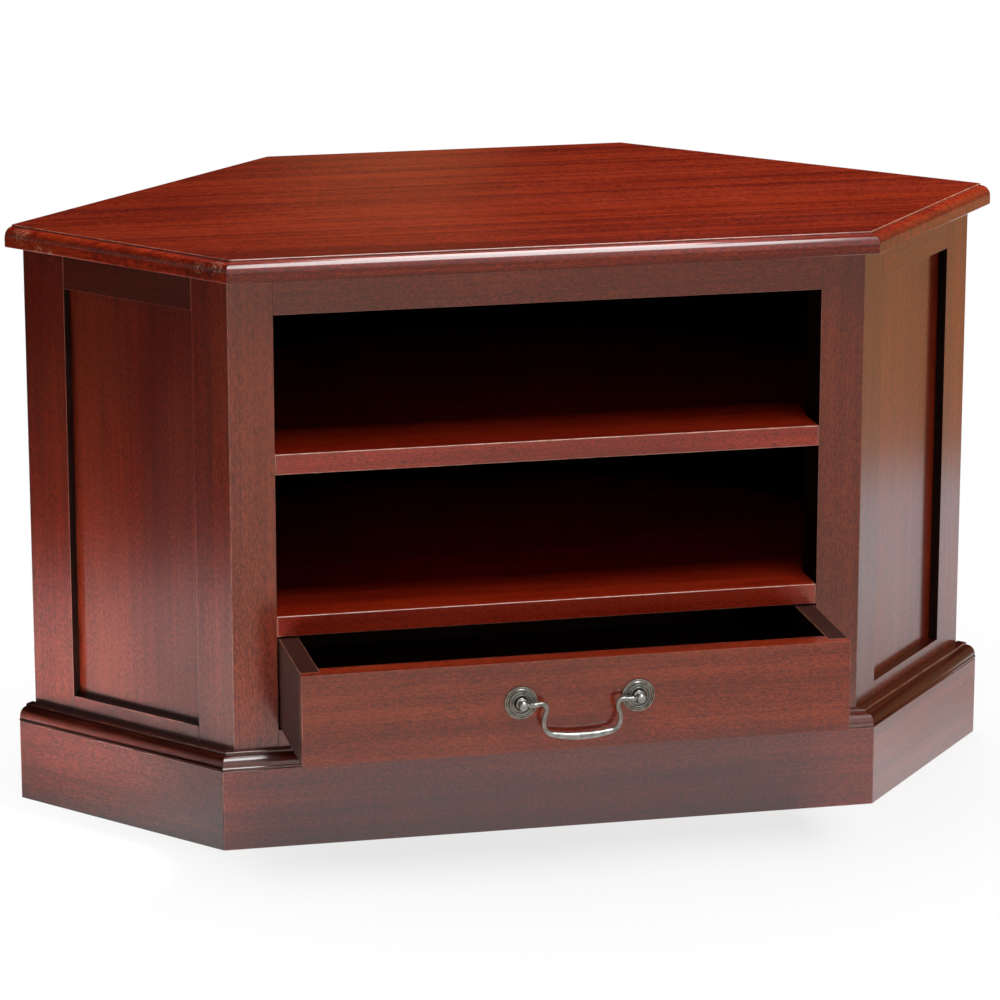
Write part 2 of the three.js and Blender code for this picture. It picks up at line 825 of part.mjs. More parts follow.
// Bail: a rod bent to a swan-necked grip. Its pins sit in the knuckles, and its
// middle is the thickest. The centre line is a smooth curve in the x-z plane.
function makeBail() {
  const pinEnd = handleCentres / 2 - pinClearance;
  const pinStart = handleCentres / 2 - knuckleRadius;
  const bead = pinStart - pinBeadRadius;
  const dropShares = { bendTop: 0.08, bendSide: 0.22, bulge: 0.47, turnIn: 0.72, heel: 0.86, grip: 0.94 };
  const gripStartShare = 0.67;
  const right = [
    { x: pinEnd, z: 0, radius: pinRadius },
    { x: pinStart, z: 0, radius: pinRadius },
    { x: bead, z: 0, radius: pinBeadRadius },
    { x: bead - pinBeadRadius, z: 0, radius: bailArmRadius },
    { x: bailShoulder + bailArmRadius, z: 0, radius: bailArmRadius },
    { x: bailShoulder, z: -bailDrop * dropShares.bendTop, radius: bailArmRadius },
    { x: bailShoulder, z: -bailDrop * dropShares.bendSide, radius: bailArmRadius },
    { x: bailShoulder + bailBulge, z: -bailDrop * dropShares.bulge, radius: bailArmRadius },
    { x: bailShoulder + bailBulge / 2, z: -bailDrop * dropShares.turnIn, radius: bailArmRadius },
    { x: bailShoulder - bailBulge, z: -bailDrop * dropShares.heel, radius: bailArmRadius },
    {
      x: bailShoulder * gripStartShare,
      z: -bailDrop * dropShares.grip,
      radius: (bailArmRadius + bailGripRadius) / 2,
    },
  ];
  const middle = { x: 0, z: -bailDrop, radius: bailGripRadius };
  const left = right.map(({ x, z, radius }) => ({ x: -x, z, radius }));
  const stations = [...left, middle, ...right.reverse()];
  const path = new THREE.CatmullRomCurve3(
    stations.map(({ x, z, radius }) => new THREE.Vector3(x, radius, z)),
    false,
    "centripetal",
  );
  const steps = bailStepsPerStation * (stations.length - 1);
  const rings = [];
  for (let step = 0; step <= steps; step += 1) {
    const share = step / steps;
    const centre = path.getPoint(share);
    const tangent = path.getTangent(share);
    const radius = centre.y;
    const across = new THREE.Vector3(-tangent.z, 0, tangent.x).normalize();
    rings.push(Array.from({ length: bailSides }, (_, side) => {
      const turn = (2 * Math.PI * side) / bailSides;
      return new THREE.Vector3(
        centre.x + across.x * radius * Math.sin(turn),
        radius * Math.cos(turn),
        centre.z + across.z * radius * Math.sin(turn),
      );
    }));
  }
  const cap = Array.from({ length: bailSides - 2 }, (_, side) => [0, side + 1, side + 2]);
  return loft(rings, cap);
}

// Assembly
const slabBack = bodyDepth + slabWallOverhang;
const foremost = drawerOpen + handleReach + knuckleRadius;
const cabinet = new THREE.Group();
cabinet.position.set(0, (foremost - slabBack) / 2, 0);

const carcass = new THREE.Group();
addFrame(carcass);
addShelves(carcass);
addTop(carcass);
addPlinth(carcass);
addDrawerCarriage(carcass);
cabinet.add(carcass);

const drawer = new THREE.Group();
drawer.position.set(0, -drawerOpen, 0);
addDrawerBox(drawer);
addHandle(drawer);
cabinet.add(drawer);

const bail = new THREE.Group();
bail.position.set(0, -handleReach, handleZ);
addPiece(bail, "handle_bail", makeBail(), pewter);
drawer.add(bail);

const model = new THREE.Group();
model.add(cabinet);

export default model;
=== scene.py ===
"""Corner television cabinet in red-brown lacquered mahogany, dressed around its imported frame."""
import json
import logging
import math
from contextlib import contextmanager
from dataclasses import dataclass, field, replace
from enum import Enum
from random import Random
from typing import Iterable, Iterator, Sequence

import bmesh
import bpy
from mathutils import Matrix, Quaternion, Vector


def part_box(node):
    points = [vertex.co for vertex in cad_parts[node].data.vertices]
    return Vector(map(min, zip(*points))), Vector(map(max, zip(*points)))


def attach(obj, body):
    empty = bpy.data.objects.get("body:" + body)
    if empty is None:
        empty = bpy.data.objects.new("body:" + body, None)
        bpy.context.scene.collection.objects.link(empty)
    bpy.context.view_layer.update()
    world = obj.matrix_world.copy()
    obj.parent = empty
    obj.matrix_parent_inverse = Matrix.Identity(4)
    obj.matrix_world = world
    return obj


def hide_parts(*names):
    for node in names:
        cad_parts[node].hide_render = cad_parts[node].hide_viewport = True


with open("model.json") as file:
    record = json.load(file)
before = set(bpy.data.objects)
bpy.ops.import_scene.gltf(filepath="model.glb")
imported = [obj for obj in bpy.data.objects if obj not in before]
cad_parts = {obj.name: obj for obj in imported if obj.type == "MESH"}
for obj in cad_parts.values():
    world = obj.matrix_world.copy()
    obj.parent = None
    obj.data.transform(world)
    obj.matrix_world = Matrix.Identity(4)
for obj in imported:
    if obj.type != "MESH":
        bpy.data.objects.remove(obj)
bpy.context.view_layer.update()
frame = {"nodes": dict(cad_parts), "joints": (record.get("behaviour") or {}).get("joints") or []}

MM = 0.001
MERGE_MM = 0.01
FLAT_DEGREES = 1
LEVEL_DOT = 0.99
SHOWN_DOT = 0.995
UP = Vector((0.0, 0.0, 1.0))
RIGHT = Vector((1.0, 0.0, 0.0))
BACK = Vector((0.0, 1.0, 0.0))
LOG = logging.getLogger("cabinet")


class Slot(Enum):
    """The record's material slots."""

    LACQUERED = "lacquered_hardwood"
    STAINED = "stained_hardwood"
    PLYWOOD = "plywood"
    SOFTWOOD = "softwood"
    PEWTER = "pewter"
    STEEL = "steel"


class Body(Enum):
    """The bodies that move against each other."""

    CARCASS = "carcass"
    DRAWER = "drawer"
    BAIL = "bail"


def linear(colour: str) -> tuple[float, float, float, float]:
    """Turns an sRGB hex colour into linear RGBA.

    Args:
        colour: Six hex digits after a hash sign.

    Returns:
        Linear red, green and blue, and an alpha of one.
    """
    channels = [int(colour[place:place + 2], 16) / 255 for place in (1, 3, 5)]
    red, green, blue = (
        part / 12.92 if part <= 0.04045 else ((part + 0.055) / 1.055) ** 2.4 for part in channels
    )
    return red, green, blue, 1.0


WHITE = linear("#FFFFFF")


def add_node(tree: bpy.types.NodeTree, kind: str, inputs: dict | None = None,
             **settings: object) -> bpy.types.Node:
    """Adds one node with its settings and links.

    Args:
        tree: The node tree that gets the node.
        kind: The node's type, without its leading ShaderNode.
        inputs: Values, sockets, or nodes for their first output, by the input's name or number.
        **settings: The node's own properties.

    Returns:
        The new node.
    """
    node = tree.nodes.new(f"ShaderNode{kind}")
    for name, value in settings.items():
        setattr(node, name, value)
    for name, value in (inputs or {}).items():
        if isinstance(value, bpy.types.Node):
            value = value.outputs[0]
        if isinstance(value, bpy.types.NodeSocket):
            tree.links.new(value, node.inputs[name])
        else:
            node.inputs[name].default_value = value
    return node


def set_stops(ramp: bpy.types.Node, stops: Sequence[tuple[float, str]]) -> None:
    """Sets a colour ramp's stops.

    Args:
        ramp: The colour ramp node.
        stops: Places from 0 to 1 with their sRGB hex colours.
    """
    elements = ramp.color_ramp.elements
    while len(elements) < len(stops):
        elements.new(0.5)
    for element, (place, colour) in zip(elements, stops):
        element.position = place
        element.color = linear(colour)


def new_material(name: str) -> tuple[bpy.types.Material, bpy.types.NodeTree]:
    """Makes a material without nodes.

    Args:
        name: The material's name.

    Returns:
        The material and its empty node tree.
    """
    made = bpy.data.materials.new(name)
    made.use_nodes = True
    made.node_tree.nodes.clear()
    return made, made.node_tree


def only(*objects: bpy.types.Object) -> None:
    """Selects these objects alone and makes the first one active."""
    bpy.ops.object.select_all(action="DESELECT")
    for item in objects:
        item.select_set(True)
    bpy.context.view_layer.objects.active = objects[0]


@contextmanager
def editing() -> Iterator[None]:
    """Holds the active piece in edit mode, all selected at first."""
    bpy.ops.object.mode_set(mode="EDIT")
    bpy.ops.mesh.select_all(action="SELECT")
    yield
    bpy.ops.object.mode_set(mode="OBJECT")


def ease_edges(piece: bpy.types.Object, width_mm: float, segments: int, degrees: float,
               material: int = -1) -> None:
    """Bevels every edge sharper than an angle.

    Args:
        piece: The piece.
        width_mm: The bevel's width.
        segments: How many flats it has.
        degrees: The angle.
        material: The material number of the new faces, or -1 for their neighbours'.
    """
    only(piece)
    ease = piece.modifiers.new("eased_arris", "BEVEL")
    ease.width = width_mm * MM
    ease.segments = segments
    ease.limit_method = "ANGLE"
    ease.angle_limit = math.radians(degrees)
    ease.material = material
    bpy.ops.object.modifier_apply(modifier=ease.name)


@dataclass(frozen=True)
class Mark:
    """A scuffed place: its middle in metres and its reach in millimetres."""

    place: tuple[float, float, float]
    reach_mm: float


@dataclass(frozen=True)
class Wood:
    """Planed wood whose grain runs along each board, with its pores, streaks and finish.

    The grain is read from each board's own place attribute: metres along the grain,
    across it and through the board. A face attribute darkens or lightens each face as painted light
    and shade, and another lays a light colour on the eased edges, partly worn lacquer and partly
    painted highlight.
    """

    name: str
    pore: str
    dark: str
    middle: str
    light: str
    arris: str
    streak_mm: float = 16.0
    streak_length_mm: float = 420.0
    line_mm: float = 2.2
    line_length_mm: float = 160.0
    # Pores and flecks are drawn about twice as coarse as life, so that they show
    pore_mm: float = 1.1
    pore_length_mm: float = 9.0
    pore_edges: tuple[float, float] = (0.62, 0.72)
    pore_depth_mm: float = 0.05
    pore_share: float = 0.5
    fleck_mm: float = 1.6
    fleck_length_mm: float = 4.0
    fleck_share: float = 0.42
    line_share: float = 0.36
    mottle_mm: float = 70.0
    mottle_share: float = 0.25
    glued_board_mm: float = 95.0
    board_share: float = 0.07
    contrast: float = 0.088
    painted_shade_spread: float = 0.5
    roughness: float = 0.3
    roughness_spread: float = 0.06
    gloss_edges: tuple[float, float] = (0.3, 0.7)
    noise_roughness: float = 0.55
    index: float = 1.5
    relief: float = 0.35
    wear_mm: float = 14.0
    wear_edges: tuple[float, float] = (0.4, 0.55)
    arris_least: float = 0.45
    arris_share: float = 0.95
    specular: float = 0.5
    lacquer: float = 0.0
    lacquer_roughness: float = 0.2
    lacquer_index: float = 1.58
    marks: tuple[Mark, ...] = ()
    mark_colour: str = "#D8A888"
    mark_grain_mm: float = 2.5
    mark_edges: tuple[float, float] = (0.48, 0.62)
    mark_strength: float = 0.9

    def material(self) -> bpy.types.Material:
        """Builds the wood once.

        Returns:
            The material, which boards of this wood share.
        """
        made = bpy.data.materials.get(self.name)
        if made:
            return made
        made, tree = new_material(self.name)
        place, arris, painted_shade = (
            add_node(tree, "Attribute", attribute_name=name) for name in ("grain_place", "arris", "painted_shade")
        )
        streaks = self.stretched_noise(tree, place, self.streak_length_mm, self.streak_mm, 3.0)
        lines = self.stretched_noise(tree, place, self.line_length_mm, self.line_mm, 2.0)
        pores = self.stretched_noise(tree, place, self.pore_length_mm, self.pore_mm, 0.0)
        flecks = self.stretched_noise(tree, place, self.fleck_length_mm, self.fleck_mm, 1.0)
        mottle = self.stretched_noise(tree, place, 2 * self.mottle_mm, self.mottle_mm, 2.0)
        wear = self.stretched_noise(tree, place, self.wear_mm, self.wear_mm, 3.0)
        pore_low, pore_high = self.pore_edges
        pore_mask = add_node(tree, "MapRange", {"Value": pores, "From Min": pore_low, "From Max": pore_high})
        parts = add_node(tree, "SeparateXYZ", {"Vector": place.outputs["Vector"]})
        board = add_node(tree, "Math", {0: parts.outputs["Y"], 1: 1 / (self.glued_board_mm * MM)},
                         operation="MULTIPLY")
        board = add_node(tree, "Math", {0: board}, operation="FLOOR")
        board_tone = add_node(tree, "TexWhiteNoise", {"W": board}, noise_dimensions="1D")
        value = streaks
        for other, share in ((lines, self.line_share), (mottle, self.mottle_share),
                             (flecks, self.fleck_share), (board_tone, self.board_share)):
            value = add_node(tree, "Mix", {0: share, 2: value, 3: other}, data_type="FLOAT")
        ramp = add_node(tree, "ValToRGB", {"Fac": value})
        set_stops(ramp, (
            (0.5 - self.contrast, self.dark), (0.5, self.middle), (0.5 + self.contrast, self.light),
        ))
        # Each face's painted light and shade scales the colour
        strength = add_node(tree, "MapRange", {
            "Value": painted_shade.outputs["Fac"], "To Min": 1 - self.painted_shade_spread, "To Max": 1 + self.painted_shade_spread,
        }, clamp=False)
        with_painted_shade = add_node(tree, "VectorMath", {0: ramp, "Scale": strength}, operation="SCALE")
        pore_strength = add_node(tree, "Math", {0: pore_mask, 1: self.pore_share}, operation="MULTIPLY")
        coloured = add_node(tree, "Mix", {0: pore_strength, 6: with_painted_shade, 7: linear(self.pore)}, data_type="RGBA")
        # Eased edges take the light arris colour, broken up by wear noise: partly worn lacquer, partly painted
        # highlight
        wear_low, wear_high = self.wear_edges
        worn = add_node(tree, "MapRange", {
            "Value": wear, "From Min": wear_low, "From Max": wear_high,
            "To Min": self.arris_least, "To Max": self.arris_share,
        })
        arris_strength = add_node(tree, "Math", {0: arris.outputs["Fac"], 1: worn}, operation="MULTIPLY")
        coloured = add_node(tree, "Mix", {
            0: arris_strength, 6: coloured.outputs[2], 7: linear(self.arris),
        }, data_type="RGBA")
        if self.marks:
            coloured = add_node(tree, "Mix", {
                0: self.marked(tree), 6: coloured.outputs[2], 7: linear(self.mark_colour),
            }, data_type="RGBA")
        gloss_low, gloss_high = self.gloss_edges
        gloss = add_node(tree, "MapRange", {
            "Value": mottle, "From Min": gloss_low, "From Max": gloss_high,
            "To Min": self.roughness - self.roughness_spread,
            "To Max": self.roughness + self.roughness_spread,
        })
        height = add_node(tree, "Math", {0: lines, 1: pore_mask}, operation="SUBTRACT")
        bump = add_node(tree, "Bump", {
            "Strength": self.relief, "Distance": self.pore_depth_mm * MM, "Height": height,
        })
        shader = add_node(tree, "BsdfPrincipled", {
            "Base Color": coloured.outputs[2],
            "Roughness": gloss,
            "IOR": self.index,
            "Specular IOR Level": self.specular,
            "Coat Weight": self.lacquer,
            "Coat Roughness": self.lacquer_roughness,
            "Coat IOR": self.lacquer_index,
            "Normal": bump,
        })
        add_node(tree, "OutputMaterial", {"Surface": shader})
        return made

    def marked(self, tree: bpy.types.NodeTree) -> bpy.types.Node:
        """Adds the broken scuffs around the finish's marks.

        Args:
            tree: The material's node tree.

        Returns:
            The node whose first output is how far the finish is scuffed.
        """
        place = add_node(tree, "TexCoord").outputs["Object"]
        broken = add_node(tree, "TexNoise", {
            "Vector": place, "Scale": 1 / (self.mark_grain_mm * MM), "Detail": 3.0,
        })
        scuffed = None
        for mark in self.marks:
            distance = add_node(tree, "VectorMath", {0: place, 1: mark.place}, operation="DISTANCE")
            nearness = add_node(tree, "MapRange", {
                "Value": distance.outputs["Value"], "From Max": mark.reach_mm * MM,
                "To Min": self.mark_strength, "To Max": 0.0,
            })
            scuffed = nearness if scuffed is None else add_node(
                tree, "Math", {0: scuffed, 1: nearness}, operation="MAXIMUM")
        low, high = self.mark_edges
        torn = add_node(tree, "MapRange", {"Value": broken, "From Min": low, "From Max": high})
        return add_node(tree, "Math", {0: scuffed, 1: torn}, operation="MULTIPLY")

    def stretched_noise(self, tree: bpy.types.NodeTree, place: bpy.types.Node, length_mm: float,
                        width_mm: float, detail: float) -> bpy.types.Node:
        """Adds noise drawn out along the grain.

        Args:
            tree: The material's node tree.
            place: The attribute node with the place in the board.
            length_mm: The pattern's length along the grain.
            width_mm: The pattern's width across the grain and through the board.
            detail: How many finer octaves it has.

        Returns:
            The noise node.
        """
        scaled = add_node(tree, "Mapping", {
            "Vector": place.outputs["Vector"],
            "Scale": (1 / (length_mm * MM), 1 / (width_mm * MM), 1 / (width_mm * MM)),
        })
        return add_node(tree, "TexNoise", {
            "Vector": scaled, "Scale": 1.0, "Detail": detail, "Roughness": self.noise_roughness,
        })


@dataclass(frozen=True)
class Metal:
    """Bare or plated metal with a cast or drawn skin."""

    name: str
    bright: str
    dull: str
    roughness: float
    patch_mm: float
    dimple_mm: float
    dimple_depth_mm: float
    patina: str = "#161715"
    patch_edges: tuple[float, float] = (0.35, 0.62)
    dull_gain: float = 1.4
    bright_gain: float = 0.7
    relief: float = 0.4

    def material(self) -> bpy.types.Material:
        """Builds the metal once.

        Returns:
            The material, which pieces of this metal share.
        """
        made = bpy.data.materials.get(self.name)
        if made:
            return made
        made, tree = new_material(self.name)
        place = add_node(tree, "TexCoord").outputs["Object"]
        patches, dimples = (
            add_node(tree, "TexNoise", {"Vector": place, "Scale": 1 / (size * MM), "Detail": detail})
            for size, detail in ((self.patch_mm, 3.0), (self.dimple_mm, 1.0))
        )
        colour = add_node(tree, "ValToRGB", {"Fac": patches})
        low, high = self.patch_edges
        set_stops(colour, ((low, self.dull), (high, self.bright)))
        hollow = add_node(tree, "Attribute", attribute_name="hollow")
        aged = add_node(tree, "Mix", {
            0: hollow.outputs["Fac"], 6: colour, 7: linear(self.patina),
        }, data_type="RGBA")
        gloss = add_node(tree, "MapRange", {
            "Value": patches, "To Min": self.roughness * self.dull_gain,
            "To Max": self.roughness * self.bright_gain,
        })
        bump = add_node(tree, "Bump", {
            "Strength": self.relief, "Distance": self.dimple_depth_mm * MM, "Height": dimples,
        })
        shader = add_node(tree, "BsdfPrincipled", {
            "Base Color": aged.outputs[2], "Metallic": 1.0, "Roughness": gloss, "Normal": bump,
        })
        add_node(tree, "OutputMaterial", {"Surface": shader})
        return made


# Mahogany under a satin lacquer: deep red where it reflects nothing, mauve where it shines
LACQUERED_MAHOGANY = Wood("satin_lacquered_mahogany", "#44110A", "#6C190A", "#8E290E", "#A83C18",
                          "#DDA48C", roughness=0.36, specular=0.22, lacquer=1.0,
                          lacquer_roughness=0.15, lacquer_index=1.7)
# The same lacquer on the shelves, deeper and redder where no sheen lies on it
SHELF_MAHOGANY = Wood("satin_lacquered_shelf_mahogany", "#580F05", "#8C1807", "#B2280C", "#C63A12",
                      "#DDA48C", roughness=0.36, lacquer=1.0, lacquer_roughness=0.15)
# The same lacquer over the top's long straight figure
TOP_MAHOGANY = Wood("satin_lacquered_mahogany_top", "#380C06", "#631306", "#8A2109", "#A53312", "#DDA48C",
                    streak_mm=7.0, streak_length_mm=520.0, line_mm=1.8, line_length_mm=300.0,
                    mottle_share=0.12, fleck_share=0.36, contrast=0.075, roughness=0.36,
                    specular=0.15, lacquer=1.0, lacquer_roughness=0.12)
# Near-black and matte: painted shade on the faces turned into the cabinet, its bays and its recesses
SHADE_PAINTED_MAHOGANY = Wood("shade_painted_mahogany", "#0E0A0A", "#1C1110", "#281714", "#341D18", "#54281B",
                     roughness=0.9, specular=0.0)
# A dull lacquer on the drawer's sides, its dark brown colour painted shade
DULL_SHADE_PAINTED_MAHOGANY = Wood("dull_shade_painted_mahogany", "#180806", "#2C110B", "#3C1A12", "#4C261B", "#B97C66",
                       roughness=0.5, specular=0.25)
# Stained frame members towards the walls, wiped on and left without lacquer
STAINED_MAHOGANY = Wood("stained_mahogany", "#1E0806", "#32100A", "#42170D", "#522013", "#6A3424",
                        roughness=0.5, specular=0.3)
# Thin stained plywood with a rotary-cut face: broad open figure
STAINED_PLYWOOD = Wood("stained_plywood", "#2A120C", "#421E14", "#582C1C", "#6C3C28", "#6E4432",
                       streak_mm=45.0, streak_length_mm=300.0, glued_board_mm=900.0, roughness=0.6,
                       specular=0.3)
# Planed softwood battens: pale, with wide summer and winter lines
PLANED_SOFTWOOD = Wood("planed_softwood", "#7A5A38", "#8E6B45", "#A98659", "#BF9E72", "#C4A880",
                       streak_mm=9.0, line_mm=3.5, glued_board_mm=400.0, pore_share=0.1,
                       roughness=0.65)
# Cast brass with antique pewter plating: patina left black in the hollows
ANTIQUE_PEWTER = Metal("antique_pewter_plate", "#B4B5AE", "#7E807B", 0.3, 6.0, 1.5, 0.02)
# The same plating rubbed bright by the hand on the grip and the knuckles
RUBBED_PEWTER = Metal("rubbed_pewter_plate", "#A0A19E", "#70726D", 0.3, 9.0, 2.5, 0.004)
# Zinc-plated steel nuts: even and slightly dull
ZINC_PLATE = Metal("zinc_plated_steel", "#B8BBBD", "#9A9DA0", 0.35, 3.0, 0.8, 0.02)


def mirrored(direction: Vector) -> Vector:
    """The direction's mirror image across the cabinet's middle."""
    return Vector((-direction.x, direction.y, direction.z))


def outline_of(node: str) -> list[Vector]:
    """Finds the corners of a node's flat underside.

    Args:
        node: The node.

    Returns:
        The corners at their own height, counter-clockwise from above.
    """
    solid = bmesh.new()
    solid.from_mesh(frame["nodes"][node].data)
    bmesh.ops.remove_doubles(solid, verts=solid.verts, dist=MERGE_MM * MM)
    bmesh.ops.dissolve_limit(solid, angle_limit=math.radians(FLAT_DEGREES), verts=solid.verts,
                             edges=solid.edges)
    level = (face for face in solid.faces if face.normal.z < -LEVEL_DOT)
    under = max(level, key=lambda face: face.calc_area())
    corners = [vertex.co.copy() for vertex in under.verts]
    solid.free()
    return corners[::-1]


class Plan:
    """The cabinet's plan, read from the top slab: its edges' directions."""

    def __init__(self, slab: str) -> None:
        """Reads the corners of the slab's underside.

        Args:
            slab: The slab's node.
        """
        corners = outline_of(slab)
        right_front = max(sorted(corners, key=lambda point: point.y)[:2], key=lambda point: point.x)
        right_end = max(corners, key=lambda point: point.x)
        right_back = max((point for point in corners if point.x > 0), key=lambda point: point.y)
        self.side_right = (right_end - right_front).normalized()
        self.wall_right = (right_back - right_end).normalized()
        self.side_left = mirrored(self.side_right)
        self.wall_left = mirrored(self.wall_right)

    def side_frames(self) -> tuple[tuple[str, Vector, Vector], ...]:
        """Each side's name, its run from front to rear and its outward direction."""
        _, out_right, out_left = self.shown_faces()
        return ("right", self.side_right, out_right), ("left", self.side_left, out_left)

    def shown_faces(self) -> tuple[Vector, Vector, Vector]:
        """The outward directions of the front and of both sides."""
        side = Vector((self.side_right.y, -self.side_right.x, 0.0))
        return -BACK, side, mirrored(side)


def inset_outline(corners: Sequence[Vector], moulded: Sequence[bool], inset: float) -> list[Vector]:
    """Moves an outline's moulded edges inwards and leaves the others where they are.

    Args:
        corners: The outline, counter-clockwise from above.
        moulded: For each edge, starting at the corner of its number, whether it moves.
        inset: How far the moulded edges move.

    Returns:
        The new corners, each where its two edges now meet.
    """
    count = len(corners)
    lines = []
    for place, corner in enumerate(corners):
        run = (corners[(place + 1) % count] - corner).normalized()
        inward = Vector((-run.y, run.x, 0.0))
        lines.append((corner + inward * (inset if moulded[place] else 0.0), run))
    moved = []
    for place in range(count):
        (start_a, run_a), (start_b, run_b) = lines[place - 1], lines[place]
        turn = run_a.x * run_b.y - run_a.y * run_b.x
        between = start_b - start_a
        moved.append(start_a + run_a * ((between.x * run_b.y - between.y * run_b.x) / turn))
    return moved


def arc(centre_inset: float, centre_z: float, radius: float, steps: int) -> list[tuple[float, float]]:
    """The insets and heights of a quarter round, in flats from its widest place up to its top."""
    turns = [step / steps * math.pi / 2 for step in range(steps + 1)]
    return [(centre_inset - radius * math.cos(turn), centre_z + radius * math.sin(turn)) for turn in turns]


def moulded_edges(outline: Sequence[Vector], shown: Iterable[Vector]) -> list[bool]:
    """Tells which edges of an outline face the front or a side.

    Args:
        outline: The corners, counter-clockwise from above.
        shown: The outward directions of the faces that are seen.

    Returns:
        One answer for each edge.
    """
    answers = []
    for place, corner in enumerate(outline):
        run = (outline[(place + 1) % len(outline)] - corner).normalized()
        outward = Vector((run.y, -run.x, 0.0))
        answers.append(any(outward.dot(face) > SHOWN_DOT for face in shown))
    return answers


@dataclass
class WoodPiece:
    """One wooden piece: how it lies in the tree, and how it is finished.

    A painted shade of 0.5 leaves the wood's colour as it is. Less is darker and more is lighter, in linear
    steps.
    These values are painted light and shade. They were set board by board to the brightness in the photograph,
    so mirrored boards differ in them where light fell differently. The light colour on eased arrises is partly
    worn lacquer and partly painted highlight. Faces turned into the cabinet get a near-black painted shade.
    """

    node: str
    body: Body
    along: Vector
    out: Vector
    wood: Wood = LACQUERED_MAHOGANY
    slot: Slot = Slot.LACQUERED
    arris_mm: float = 0.5
    arris_segments: int = 2
    smooth_degrees: float = 32.0
    place_spread: float = 3.0
    # Painted light and shade: of the whole piece, and of its faces turned to side_out
    painted_shade: float = 0.5
    side_tone: float = 0.5
    side_out: Vector | None = None
    side_dot: float = 0.7
    # Light colour on the eased arrises: partly worn lacquer, partly painted highlight
    rub: float = 0.25
    # Faces turned these ways get the near-black painted shade
    inside: tuple[Vector, ...] = ()
    inside_dot: float = 0.9

    def copied(self) -> bpy.types.Object:
        """Copies the frame's solid and clears its loose triangles into whole faces.

        Returns:
            The piece, not yet finished.
        """
        piece = bpy.data.objects.new(f"{self.node}_dressed", frame["nodes"][self.node].data.copy())
        bpy.context.scene.collection.objects.link(piece)
        piece.data.materials.clear()
        only(piece)
        with editing():
            bpy.ops.mesh.remove_doubles(threshold=MERGE_MM * MM)
            bpy.ops.mesh.dissolve_limited(angle_limit=math.radians(FLAT_DEGREES))
        return piece

    def finish(self, piece: bpy.types.Object) -> bpy.types.Object:
        """Eases the piece's arrises, lays its grain and hands it to its body.

        Args:
            piece: The piece's shape.

        Returns:
            The finished piece.
        """
        only(piece)
        bpy.ops.object.shade_smooth()
        # The second slot marks the eased faces until their share of worn lacquer and painted highlight is
        # written
        piece.data.materials.append(self.wood.material())
        piece.data.materials.append(self.wood.material())
        ease_edges(piece, self.arris_mm, self.arris_segments, self.smooth_degrees, material=1)
        even = piece.modifiers.new("even_faces", "WEIGHTED_NORMAL")
        even.weight = 100
        even.keep_sharp = True
        bpy.ops.object.modifier_apply(modifier=even.name)
        self.lay_grain(piece)
        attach(piece, self.body.value)
        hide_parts(self.node)
        LOG.info("%s: %d faces", piece.name, len(piece.data.polygons))
        return piece

    def lay_grain(self, piece: bpy.types.Object) -> None:
        """Writes each point's place in the tree, and each face's painted light and shade, its share of worn
        lacquer and painted highlight, and its material.

        Args:
            piece: The piece with its final mesh.
        """
        mesh = piece.data
        draw = Random(self.node)
        along = self.along.normalized()
        out = self.out.normalized()
        across = out.cross(along)
        shift = Vector([draw.uniform(-self.place_spread, self.place_spread) for _ in range(3)])
        place = mesh.attributes.new("grain_place", "FLOAT_VECTOR", "POINT")
        for vertex, value in zip(mesh.vertices, place.data):
            spot = vertex.co
            value.vector = Vector((spot.dot(along), spot.dot(across), spot.dot(out))) + shift
        heights = [vertex.co.z for vertex in mesh.vertices]
        low, high = min(heights), max(heights)
        # Painted light and shade for each face: the piece's own, or another on faces turned to side_out
        painted_shades = [
            self.side_tone if self.side_out and face.normal.dot(self.side_out) > self.side_dot else self.painted_shade
            for face in mesh.polygons
        ]
        wear_and_highlights = [self.wear_and_highlight_of(face, low, high) for face in mesh.polygons]
        for name, values in (("painted_shade", painted_shades), ("arris", wear_and_highlights)):
            mesh.attributes.new(name, "FLOAT", "FACE").data.foreach_set("value", values)
        mesh.materials.pop(index=1)
        # Faces turned into the cabinet take the near-black painted shade
        if self.inside:
            mesh.materials.append(SHADE_PAINTED_MAHOGANY.material())
        for face in mesh.polygons:
            turned_in = any(face.normal.dot(direction) > self.inside_dot for direction in self.inside)
            face.material_index = int(turned_in)

    def wear_and_highlight_of(self, face: bpy.types.MeshPolygon, low: float, high: float) -> float:
        """How much, from 0 to 1, of the light arris colour a face gets, partly worn lacquer and partly painted
        highlight: eased ones are material 1.
        """
        return self.rub * face.material_index

    def make(self) -> bpy.types.Object:
        """Copies the solid and finishes it."""
        return self.finish(self.copied())


